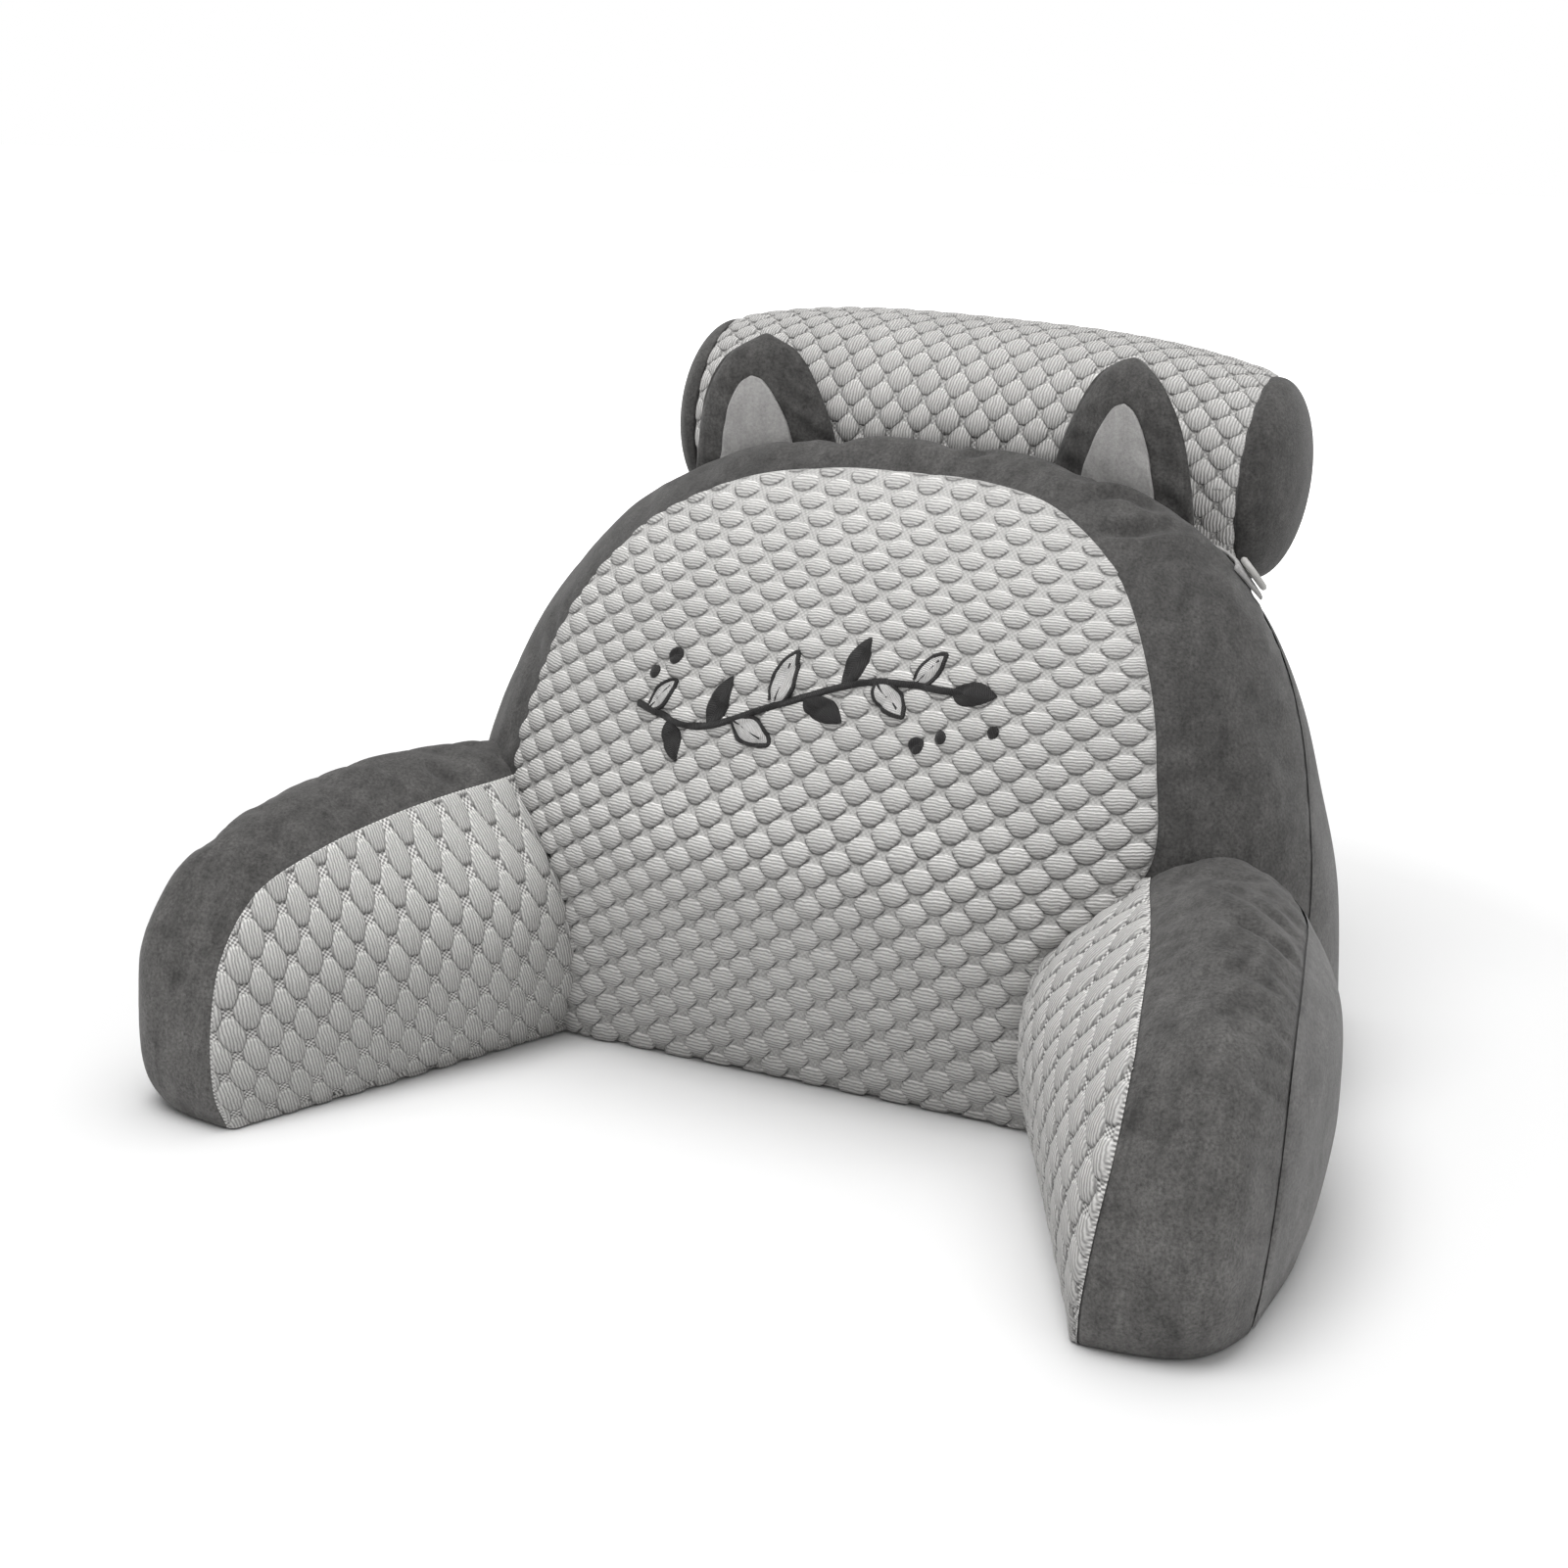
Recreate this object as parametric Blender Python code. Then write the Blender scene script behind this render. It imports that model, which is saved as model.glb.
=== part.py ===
# Reading pillow with arms: a wedge backrest, two splayed arms, two ears and a neck roll.
# Metres, +Z up, -Y towards the front. Left and right are as seen from the front, +X to the right.
# The origin is on the floor, under the middle of the whole pillow.

import math

import bmesh
import bpy
from mathutils import Matrix, Vector

# ---------------------------------------------------------------- driving dimensions
FRONT_REACH = 0.1829      # from the foot of the backrest to the front of the arms
DEPTH = 0.5276            # front of the arms to the back of the neck roll
Y_SHIFT = FRONT_REACH - DEPTH / 2    # moves the drawing's y = 0 (foot of the backrest) to the middle
PANEL_MIDDLE = 0.0030     # thickness of a quilted panel in its middle
PANEL_RIM = 0.0014        # and at its sewn edge
GAP = 0.0005              # air between neighbouring pieces
FLOOR_GAP = 0.0005        # how far a panel's lower edge stays above the floor

ROLL_CENTRE = Vector((-0.005, 0.2715, 0.313))
ROLL_MIDDLE = 0.0725      # radius in the middle of the roll
ROLL_END = 0.0570         # radius at the seam of an end piece
ROLL_HALF = 0.1680        # middle to that seam
ROLL_YAW = math.radians(1.5)
ROLL_TILT = math.radians(-2.4)
ROLL_DOME = 0.023         # how far an end piece bulges

EAR_FRONT = 0.011         # bulge of an ear's front and of its back
EAR_BACK = 0.006
LINING_THICKNESS = 0.0016

STRAP_WIDTH = 0.022
STRAP_THICKNESS = 0.0020
STRAP_LIFT = 0.0012       # how far a strap lies off the cloth
# where a strap lies on the gusset: (rib, share across the gusset), from its buttoned end backwards
STRAP_ON_GUSSET = {1: ((6.44, 0.60), (6.48, 0.71), (6.54, 0.81), (6.61, 0.91), (6.68, 1.00)),
                   -1: ((5.92, 0.74), (6.02, 0.80), (6.20, 0.87), (6.42, 0.94), (6.62, 1.00))}
STRAP_ON_ROLL = ((0.146, 214), (0.144, 232), (0.143, 252), (0.142, 272))   # (place along the roll, degrees)
STRAP_STEPS = 16
BUTTON_RADIUS = 0.0105
BUTTON_THICKNESS = 0.0036
# outline of a button from its middle over the rim to its underside: (share of radius, share of thickness)
BUTTON_OUTLINE = ((0.0, 1.0), (0.70, 1.0), (0.93, 0.85), (1.0, 0.5), (0.93, 0.12), (0.0, 0.0))
BUTTON_SIDES = 16

# mesh densities
BACK_COLUMNS, BACK_SIDE_ROWS = 14, 11
ARM_COLUMNS, ARM_ROWS = 8, 8
GUSSET_STEPS = 7
ROLL_SEGMENTS, ROLL_RINGS = 24, 5

# Ribs of the backrest's right half, from the floor to the top centre:
# front seam, fullest point of the gusset, rear seam.
BACK_RIBS = (
    ((0.134, 0.020, 0.000), (0.244, 0.090, 0.000), (0.212, 0.262, 0.000)),
    ((0.134, 0.013, 0.018), (0.253, 0.088, 0.018), (0.222, 0.266, 0.018)),
    ((0.130, 0.005, 0.060), (0.253, 0.086, 0.060), (0.224, 0.250, 0.060)),
    ((0.143, 0.005, 0.108), (0.250, 0.090, 0.110), (0.223, 0.234, 0.112)),
    ((0.183, 0.029, 0.144), (0.241, 0.102, 0.158), (0.217, 0.218, 0.160)),
    ((0.179, 0.048, 0.195), (0.225, 0.124, 0.206), (0.205, 0.201, 0.206)),
    ((0.165, 0.067, 0.240), (0.200, 0.140, 0.251), (0.184, 0.185, 0.250)),
    ((0.137, 0.095, 0.280), (0.167, 0.151, 0.285), (0.156, 0.178, 0.283)),
    ((0.093, 0.123, 0.305), (0.110, 0.160, 0.3135), (0.105, 0.182, 0.308)),
    ((0.045, 0.142, 0.3125), (0.052, 0.166, 0.3235), (0.050, 0.186, 0.3155)),
    ((0.000, 0.145, 0.3135), (0.000, 0.167, 0.3260), (0.000, 0.187, 0.3170)),
)
BACK_CORNER_RIB = 7       # the rib where the sides turn into the top
# how far across each of the ribs 0 to 7 the dark gusset reaches, before the rear panel wraps round
GUSSET_SHARE = (0.48, 0.48, 0.49, 0.51, 0.56, 0.60, 0.72, 1.00)
WRAP_STEPS = 3            # mesh columns of the rear panel on each side of the pillow
LEFT_FULLNESS = 0.97      # the left gusset is stuffed a little flatter
FRONT_CROWN = 0.052       # bulge of the front panel, forwards and a little up
FRONT_OUTWARD = Vector((0, -0.97, 0.24))
FRONT_SKEW = 1.2          # above 1 the fullest part lies higher than the middle
REAR_CROWN = 0.016        # bulge of the rear panel
REAR_OUTWARD = Vector((0, 0.95, 0.30))
REAR_SKEW = 0.8

# Ribs of the right arm, from its root over the top and down the front to the floor:
# inner seam, fullest point of the gusset, outer seam.
ARM_RIBS = (
    ((0.177, 0.060, 0.146), (0.213, 0.065, 0.150), (0.245, 0.072, 0.132)),
    ((0.186, 0.022, 0.143), (0.230, 0.018, 0.153), (0.266, 0.020, 0.138)),
    ((0.198, -0.014, 0.141), (0.242, -0.026, 0.153), (0.278, -0.030, 0.137)),
    ((0.210, -0.052, 0.137), (0.251, -0.058, 0.150), (0.285, -0.062, 0.132)),
    ((0.222, -0.098, 0.129), (0.262, -0.098, 0.142), (0.291, -0.092, 0.123)),
    ((0.232, -0.139, 0.115), (0.272, -0.137, 0.127), (0.295, -0.113, 0.105)),
    ((0.235, -0.165, 0.088), (0.281, -0.162, 0.094), (0.2965, -0.124, 0.078)),
    ((0.2325, -0.179, 0.055), (0.283, -0.169, 0.057), (0.2960, -0.129, 0.048)),
    ((0.229, -0.183, 0.022), (0.280, -0.171, 0.023), (0.2940, -0.131, 0.019)),
    ((0.226, -0.176, 0.000), (0.273, -0.165, 0.000), (0.2905, -0.128, 0.000)),
)
ARM_CORNER_RIB = 5        # the rib where the top turns into the front
# the arm's root, floor to top, inside the backrest until it is trimmed
ARM_ROOT_INNER = ((0.133, 0.050, 0.000), (0.121, 0.040, 0.050), (0.129, 0.042, 0.100),
                  (0.177, 0.060, 0.146))
ARM_ROOT_OUTER = ((0.250, 0.078, 0.000), (0.262, 0.070, 0.045), (0.264, 0.068, 0.095),
                  (0.245, 0.072, 0.132))
# the lower edges of the arm's two panels, root to front
ARM_FOOT_INNER = ((0.133, 0.050, 0.000), (0.147, 0.019, 0.000), (0.190, -0.087, 0.000),
                  (0.226, -0.176, 0.000))
ARM_FOOT_OUTER = ((0.250, 0.078, 0.000), (0.276, 0.028, 0.000), (0.290, -0.055, 0.000),
                  (0.2905, -0.128, 0.000))
INNER_CROWN = 0.014       # bulge of the arm's panel on the sitter's side
INNER_OUTWARD = Vector((-0.93, -0.37, 0.0))
OUTER_CROWN = 0.004
OUTER_OUTWARD = Vector((1.0, 0.0, 0.0))

# Right ear, base to tip along each edge; the base lies inside the gusset until it is trimmed.
EAR_INNER_EDGE = ((0.064, 0.190, 0.292), (0.067, 0.191, 0.322), (0.079, 0.189, 0.348), (0.092, 0.187, 0.368),
                  (0.106, 0.187, 0.3785))
EAR_OUTER_EDGE = ((0.153, 0.178, 0.272), (0.151, 0.178, 0.302), (0.143, 0.174, 0.338), (0.130, 0.175, 0.364),
                  (0.115, 0.186, 0.3775))
EAR_ACROSS, EAR_UP = 8, 8
LINING_ACROSS, LINING_UP = 6, 6
LINING_MARGIN = 0.21      # ear edge to lining edge, as a share of the ear's width
LINING_NARROWING = 0.20   # what the margin gains towards the lining's top
LINING_FOOT, LINING_TOP = 0.10, 0.71    # where along the ear's height the lining starts and ends
LINING_LIFT = GAP * 3     # air between ear and lining, more than between flat panels

COLOURS = {
    "velour_dark": ((0.075, 0.073, 0.071), 0.85),
    "velour_side": ((0.150, 0.147, 0.144), 0.85),
    "velour_pale": ((0.300, 0.295, 0.288), 0.80),
    "jacquard": ((0.560, 0.550, 0.535), 0.70),
    "button": ((0.350, 0.345, 0.335), 0.45),
}


def clear_scene():
    for thing in list(bpy.data.objects):
        bpy.data.objects.remove(thing, do_unlink=True)


def make_material(name):
    colour, roughness = COLOURS[name]
    material = bpy.data.materials.new(name)
    material.use_nodes = True
    shader = material.node_tree.nodes["Principled BSDF"]
    shader.inputs["Base Color"].default_value = (*colour, 1.0)
    shader.inputs["Roughness"].default_value = roughness
    shader.inputs["Metallic"].default_value = 0.0
    return material


# ---------------------------------------------------------------- curves and patches
def curve_point(keys, t):
    """Point of a smooth curve through keys; t counts keys, so t = 2.5 is halfway from key 2 to key 3."""
    last = len(keys) - 1
    i = min(int(t), last - 1)
    f = t - i
    here, there = Vector(keys[i]), Vector(keys[i + 1])
    before = Vector(keys[i - 1]) if i > 0 else here * 2 - there
    after = Vector(keys[i + 2]) if i + 2 <= last else there * 2 - here
    slope_a, slope_b = (there - before) / 2, (after - here) / 2
    return (here * (2 * f ** 3 - 3 * f ** 2 + 1) + slope_a * (f ** 3 - 2 * f ** 2 + f)
            + there * (3 * f ** 2 - 2 * f ** 3) + slope_b * (f ** 3 - f ** 2))


def even_stations(keys, start, end, count):
    """Curve parameters from start to end that cut the curve into count pieces of equal length."""
    fine = 200
    ts = [start + (end - start) * k / fine for k in range(fine + 1)]
    points = [curve_point(keys, t) for t in ts]
    lengths = [0.0]
    for a, b in zip(points, points[1:]):
        lengths.append(lengths[-1] + (b - a).length)
    stations, k = [], 0
    for n in range(count + 1):
        goal = lengths[-1] * n / count
        while k < fine and lengths[k + 1] < goal:
            k += 1
        if k >= fine:
            stations.append(end)
            continue
        span = max(lengths[k + 1] - lengths[k], 1e-12)
        stations.append(ts[k] + (ts[k + 1] - ts[k]) * (goal - lengths[k]) / span)
    return stations


def even_curve(keys, count):
    return [curve_point(keys, t) for t in even_stations(keys, 0, len(keys) - 1, count)]


def rib_point(rib, share):
    """Point of a gusset rib: share 0 is the first seam, 0.5 the fullest point, 1 the second seam."""
    first, crest, second = (Vector(p) for p in rib)
    through = (second - first) / 2
    if share <= 0.5:
        f, a, b = share * 2, first, crest
        slope_a, slope_b = (crest - first) * 1.5 - through * 0.5, through
    else:
        f, a, b = share * 2 - 1, crest, second
        slope_a, slope_b = through, (second - crest) * 1.5 - through * 0.5
    return (a * (2 * f ** 3 - 3 * f ** 2 + 1) + slope_a * (f ** 3 - 2 * f ** 2 + f)
            + b * (3 * f ** 2 - 2 * f ** 3) + slope_b * (f ** 3 - f ** 2))


def left_rib(rib):
    first, crest, second = rib
    return [Vector((-first.x, first.y, first.z)), Vector((-crest.x * LEFT_FULLNESS, crest.y, crest.z)),
            Vector((-second.x, second.y, second.z))]


def rib_between(ribs, t):
    return [curve_point([rib[k] for rib in ribs], t) for k in range(3)]


def coons(low, high, left, right):
    """Grid [column][row] spanned by four edges; low and high run left to right, left and right run up."""
    columns, rows = len(low) - 1, len(left) - 1
    grid = []
    for i in range(columns + 1):
        u = i / columns
        column = []
        for j in range(rows + 1):
            v = j / rows
            ruled = low[i] * (1 - v) + high[i] * v + left[j] * (1 - u) + right[j] * u
            corners = (low[0] * (1 - u) + low[-1] * u) * (1 - v) + (high[0] * (1 - u) + high[-1] * u) * v
            column.append(ruled - corners)
        grid.append(column)
    return grid


def grid_normals(grid, flip=False):
    columns, rows = len(grid) - 1, len(grid[0]) - 1
    normals = []
    for i in range(columns + 1):
        column = []
        for j in range(rows + 1):
            along = grid[min(i + 1, columns)][j] - grid[max(i - 1, 0)][j]
            up = grid[i][min(j + 1, rows)] - grid[i][max(j - 1, 0)]
            normal = along.cross(up)
            column.append((-normal if flip else normal).normalized())
        normals.append(column)
    # columns that run together into one point share the next column's normal
    middle = columns // 2
    for j in range(rows + 1):
        for i in list(range(middle, -1, -1)) + list(range(middle, columns + 1)):
            beside = i - 1 if i > middle else i + 1
            if normals[i][j].length < 0.5 or (grid[i][j] - grid[beside][j]).length < 1e-6:
                normals[i][j] = normals[beside][j]
    return normals


def offset_grid(grid, normals, depth_at):
    """Grid moved inwards by depth_at(u, v), never below the floor."""
    columns, rows = len(grid) - 1, len(grid[0]) - 1
    moved = []
    for i in range(columns + 1):
        column = []
        for j in range(rows + 1):
            point = grid[i][j] - normals[i][j] * depth_at(i / columns, j / rows)
            point.z = max(point.z, 0.0) if grid[i][j].z > 0 else 0.0
            column.append(point)
        moved.append(column)
    return moved


def edges_of(grid):
    return ([column[0] for column in grid], [column[-1] for column in grid], grid[0], grid[-1])


def panel_depth(u, v):
    fade = min(1.0, 5 * min(u, 1 - u, v, 1 - v))
    return PANEL_RIM + (PANEL_MIDDLE - PANEL_RIM) * fade


# ---------------------------------------------------------------- meshes
def mesh_from_grids(name, grids):
    """One closed mesh from grids whose edges meet; equal points become one."""
    mesh = bmesh.new()
    for grid in grids:
        verts = [[mesh.verts.new(p) for p in column] for column in grid]
        for a, b in zip(verts, verts[1:]):
            for j in range(len(a) - 1):
                mesh.faces.new((a[j], b[j], b[j + 1]))
                mesh.faces.new((a[j], b[j + 1], a[j + 1]))
    bmesh.ops.remove_doubles(mesh, verts=mesh.verts, dist=0.00001)
    bmesh.ops.dissolve_degenerate(mesh, edges=mesh.edges, dist=0.00001)
    bmesh.ops.recalc_face_normals(mesh, faces=mesh.faces)
    if mesh.calc_volume(signed=True) < 0:
        bmesh.ops.reverse_faces(mesh, faces=mesh.faces)
    data = bpy.data.meshes.new(name)
    mesh.to_mesh(data)
    mesh.free()
    return data


def place(name, data, material, parent):
    piece = bpy.data.objects.new(name, data)
    bpy.context.collection.objects.link(piece)
    piece.parent = parent
    if material is not None:
        data.materials.append(material)
    data.shade_smooth()
    return piece


def mirrored(grids):
    return [[[Vector((-p.x, p.y, p.z)) for p in column] for column in grid] for grid in grids]


def panel_grids(grid, normals):
    """The two faces and the rim of a thin panel that lies just on grid."""
    columns, rows = len(grid) - 1, len(grid[0]) - 1
    outer = [[p.copy() for p in column] for column in grid]
    inner = [[grid[i][j] - normals[i][j] * panel_depth(i / columns, j / rows) for j in range(rows + 1)]
             for i in range(columns + 1)]
    for face in (outer, inner):
        for column in face:
            for p in column:
                p.z = max(p.z, FLOOR_GAP)
    rims = [[list(pair) for pair in zip(a, b)] for a, b in zip(edges_of(outer), edges_of(inner))]
    return [outer, inner] + rims


def trimmed(piece, cutter):
    """Cuts away what reaches into the cutter."""
    cut = piece.modifiers.new("fit_to_backrest", "BOOLEAN")
    cut.operation = "DIFFERENCE"
    cut.object = cutter
    return piece


# ---------------------------------------------------------------- backrest
def back_surfaces():
    """Front panel, wrapped rear panel, gusset bands and floor of the backrest, each a grid [column][row]."""
    corner = BACK_CORNER_RIB
    top_rib = len(BACK_RIBS) - 1
    front_keys = [rib[0] for rib in BACK_RIBS]
    stations = even_stations(front_keys, 0, corner, BACK_SIDE_ROWS)
    side = [rib_between(BACK_RIBS, t) for t in stations]
    half = [rib_between(BACK_RIBS, t) for t in even_stations(front_keys, corner, top_rib, BACK_COLUMNS // 2)]
    left_side = [left_rib(rib) for rib in side]
    top = [left_rib(rib) for rib in half] + half[-2::-1]
    shares = [k / GUSSET_STEPS for k in range(GUSSET_STEPS + 1)]
    reaches = [gusset_share(t) for t in stations]

    def panel(which, crown, outward, skew):
        a, b = side[0][which], left_side[0][which]
        low = [b.lerp(a, i / BACK_COLUMNS) for i in range(BACK_COLUMNS + 1)]
        grid = coons(low, [rib[which] for rib in top], [rib[which] for rib in left_side],
                     [rib[which] for rib in side])
        for i, column in enumerate(grid):
            for j, p in enumerate(column):
                u, v = i / BACK_COLUMNS, j / BACK_SIDE_ROWS
                swell = (4 * u * (1 - u)) ** 0.8 * math.sin(math.pi * v ** skew) ** 0.85 if 0 < v < 1 else 0.0
                p += outward * (crown * swell)
        return grid

    def wrap(ribs):
        """Columns of the rear panel from the gusset's seam to the rear edge."""
        return [[rib_point(rib, reach + (1 - reach) * k / WRAP_STEPS) for rib, reach in zip(ribs, reaches)]
                for k in range(WRAP_STEPS)]

    front = panel(0, FRONT_CROWN, FRONT_OUTWARD, FRONT_SKEW)
    rear = wrap(left_side) + panel(2, REAR_CROWN, REAR_OUTWARD, REAR_SKEW) + wrap(side)[::-1]
    right_band, left_band = (
        [[rib_point(rib, s * reach) for s in shares] for rib, reach in zip(ribs, reaches)]
        for ribs in (side, left_side))
    top_band = [[rib_point(rib, s) for s in shares] for rib in top]
    return front, rear, [right_band, left_band, top_band]


def gusset_share(t):
    """How far across rib t the gusset reaches."""
    i = min(int(t), len(GUSSET_SHARE) - 2)
    return GUSSET_SHARE[i] + (GUSSET_SHARE[i + 1] - GUSSET_SHARE[i]) * (t - i)


def back_floor(front, rear, bands):
    """Underside between the front panel, the rear panel's three runs and the two gussets."""
    foot = [column[0] for column in rear]
    last = len(foot) - 1 - WRAP_STEPS
    left_edge = bands[1][0] + foot[1:WRAP_STEPS + 1]
    right_edge = bands[0][0] + foot[-2:last - 1:-1]
    return coons([column[0] for column in front], foot[WRAP_STEPS:last + 1], left_edge, right_edge)


def band_to(band, first, second):
    """The band again, with its two seams moved to the given lines."""
    return [[first[i]] + band[i][1:-1] + [second[i]] for i in range(len(band))]


def make_backrest(materials, parent):
    front, rear, (right_band, left_band, top_band) = back_surfaces()
    front_normals = grid_normals(front)
    rear_normals = grid_normals(rear, flip=True)
    depth = lambda u, v: panel_depth(u, v) + GAP
    front_core = offset_grid(front, front_normals, depth)
    rear_core = offset_grid(rear, rear_normals, depth)
    _, front_top, front_left, front_right = edges_of(front_core)
    _, rear_top, rear_left, rear_right = edges_of(rear_core)
    bands = [band_to(right_band, front_right, rear_right), band_to(left_band, front_left, rear_left),
             band_to(top_band, front_top, rear_top[WRAP_STEPS:len(rear_top) - WRAP_STEPS])]
    core = [front_core, rear_core, back_floor(front_core, rear_core, bands)] + bands
    place("back_cushion", mesh_from_grids("back_cushion", core), materials["velour_dark"], parent)
    place("back_front_panel", mesh_from_grids("back_front_panel", panel_grids(front, front_normals)),
          materials["jacquard"], parent)
    place("back_rear_panel", mesh_from_grids("back_rear_panel", panel_grids(rear, rear_normals)),
          materials["velour_side"], parent)

    # the backrest's whole outside, a little larger and reaching below the floor, trims the arms and the ears
    outside = [front, rear, right_band, left_band, top_band]
    floor = back_floor(front, rear, (right_band, left_band))
    cutter = place("backrest_outside", mesh_from_grids("backrest_outside", outside + [floor]), None, parent)
    data = cutter.data
    normals = [v.normal.copy() for v in data.vertices]
    for vertex, normal in zip(data.vertices, normals):
        vertex.co += normal * (GAP * 1.6)
        if vertex.co.z < GAP * 2:
            vertex.co.z = -0.01
    cutter.hide_render = True
    cutter.display_type = "WIRE"
    return cutter


# ---------------------------------------------------------------- arms
def arm_surfaces():
    inner_keys = [rib[0] for rib in ARM_RIBS]
    last = len(ARM_RIBS) - 1
    top = [rib_between(ARM_RIBS, t) for t in even_stations(inner_keys, 0, ARM_CORNER_RIB, ARM_COLUMNS)]
    nose = [rib_between(ARM_RIBS, t) for t in even_stations(inner_keys, last, ARM_CORNER_RIB, ARM_ROWS)]
    shares = [k / GUSSET_STEPS for k in range(GUSSET_STEPS + 1)]

    def panel(which, foot, root, crown, outward):
        grid = coons(even_curve(foot, ARM_COLUMNS), [rib[which] for rib in top],
                     even_curve(root, ARM_ROWS), [rib[which] for rib in nose])
        for i, column in enumerate(grid):
            for j, p in enumerate(column):
                u, v = i / ARM_COLUMNS, j / ARM_ROWS
                swell = math.sin(math.pi * v) ** 0.9 if 0 < v < 1 else 0.0
                p += outward * (crown * swell * (1 - u ** 3) ** 0.5 * min(1, 3 * u))
        return grid

    inner = panel(0, ARM_FOOT_INNER, ARM_ROOT_INNER, INNER_CROWN, INNER_OUTWARD)
    outer = panel(2, ARM_FOOT_OUTER, ARM_ROOT_OUTER, OUTER_CROWN, OUTER_OUTWARD)
    top_band = [[rib_point(rib, s) for s in shares] for rib in top]
    nose_band = [[rib_point(rib, s) for s in shares] for rib in nose]
    return inner, outer, top_band, nose_band


def make_arms(materials, parent, cutter):
    inner, outer, top_band, nose_band = arm_surfaces()
    inner_normals = grid_normals(inner)
    outer_normals = grid_normals(outer, flip=True)
    depth = lambda u, v: panel_depth(u, v) + GAP
    inner_core = offset_grid(inner, inner_normals, depth)
    outer_core = offset_grid(outer, outer_normals, depth)
    i_low, i_top, i_root, i_nose = edges_of(inner_core)
    o_low, o_top, o_root, o_nose = edges_of(outer_core)
    shares = [k / GUSSET_STEPS for k in range(GUSSET_STEPS + 1)]
    top_core = band_to(top_band, i_top, o_top)
    nose_core = band_to(nose_band, i_nose, o_nose)
    root_low = [i_low[0].lerp(o_low[0], s) for s in shares]
    floor = coons(i_low, o_low, root_low, nose_core[0])
    root = coons(i_root, o_root, root_low, top_core[0])
    core = [inner_core, outer_core, top_core, nose_core, floor, root]
    inner_panel = panel_grids(inner, inner_normals)
    outer_panel = panel_grids(outer, outer_normals)
    for side, change in (("right", lambda grids: grids), ("left", mirrored)):
        for name, grids, finish in (("arm_cushion_", core, "velour_dark"),
                                    ("arm_inner_panel_", inner_panel, "jacquard"),
                                    ("arm_outer_panel_", outer_panel, "velour_side")):
            data = mesh_from_grids(name + side, change(grids))
            trimmed(place(name + side, data, materials[finish], parent), cutter)


# ---------------------------------------------------------------- ears
def ear_grids():
    """The closed faces of the right ear, and those of its lining."""
    inner_edge = even_curve(EAR_INNER_EDGE, EAR_UP)
    outer_edge = even_curve(EAR_OUTER_EDGE, EAR_UP)

    def point(u, v, sign):
        t = v * EAR_UP
        i = min(int(t), EAR_UP - 1)
        a = inner_edge[i].lerp(inner_edge[i + 1], t - i)
        b = outer_edge[i].lerp(outer_edge[i + 1], t - i)
        swell = (4 * u * (1 - u)) ** 0.6 * (1 - 0.75 * v ** 3)
        depth = EAR_FRONT if sign < 0 else EAR_BACK
        return a.lerp(b, u) + Vector((0, sign * swell * depth, 0))

    faces = {}
    for side, sign in (("front", -1), ("back", 1)):
        faces[side] = [[point(i / EAR_ACROSS, j / EAR_UP, sign) for j in range(EAR_UP + 1)]
                       for i in range(EAR_ACROSS + 1)]
    base = [[a[0], b[0]] for a, b in zip(faces["front"], faces["back"])]
    tip = [[a[-1], b[-1]] for a, b in zip(faces["front"], faces["back"])]

    def lining_point(u, v, lift):
        margin = LINING_MARGIN + LINING_NARROWING * v ** 3
        across = margin + (1 - 2 * margin) * u
        return point(across, LINING_FOOT + (LINING_TOP - LINING_FOOT) * v, -1) + Vector((0, -lift, 0))

    outer, inner = (
        [[lining_point(i / LINING_ACROSS, j / LINING_UP, lift) for j in range(LINING_UP + 1)]
         for i in range(LINING_ACROSS + 1)]
        for lift in (LINING_LIFT + LINING_THICKNESS, LINING_LIFT))
    rims = [[list(pair) for pair in zip(a, b)] for a, b in zip(edges_of(outer), edges_of(inner))]
    return [faces["front"], faces["back"], base, tip], [outer, inner] + rims


def make_ears(materials, parent, cutter):
    ear, lining = ear_grids()
    for side, change in (("right", lambda grids: grids), ("left", mirrored)):
        for name, grids, finish in (("ear_", ear, "velour_dark"), ("ear_lining_", lining, "velour_pale")):
            data = mesh_from_grids(name + side, change(grids))
            trimmed(place(name + side, data, materials[finish], parent), cutter)


# ---------------------------------------------------------------- neck roll
def roll_radius(along):
    share = min(abs(along), ROLL_HALF) / ROLL_HALF
    return ROLL_END + (ROLL_MIDDLE - ROLL_END) * (1 - share ** 3)


def roll_profile(inset):
    """Half outline of the roll as (distance from its axis, place along it): end piece, then side."""
    dome = [(ROLL_END * math.sin(a), ROLL_HALF + ROLL_DOME * math.cos(a) - inset)
            for a in (math.radians(d) for d in range(0, 91, 18))]
    side = []
    for k in range(ROLL_RINGS - 1, -1, -1):
        along = k / ROLL_RINGS
        side.append((roll_radius(ROLL_HALF * along), ROLL_HALF * along))
    return dome, side


def turned(profile):
    """Mesh grid that turns (radius, place) pairs about the X axis."""
    grid = []
    for k in range(ROLL_SEGMENTS + 1):
        angle = 2 * math.pi * (k % ROLL_SEGMENTS) / ROLL_SEGMENTS
        grid.append([Vector((x, r * math.cos(angle), r * math.sin(angle))) for r, x in profile])
    return grid


def roll_frame():
    turn = Matrix.Rotation(ROLL_YAW, 4, "Z") @ Matrix.Rotation(-ROLL_TILT, 4, "Y")
    return Matrix.Translation(ROLL_CENTRE) @ turn


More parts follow.
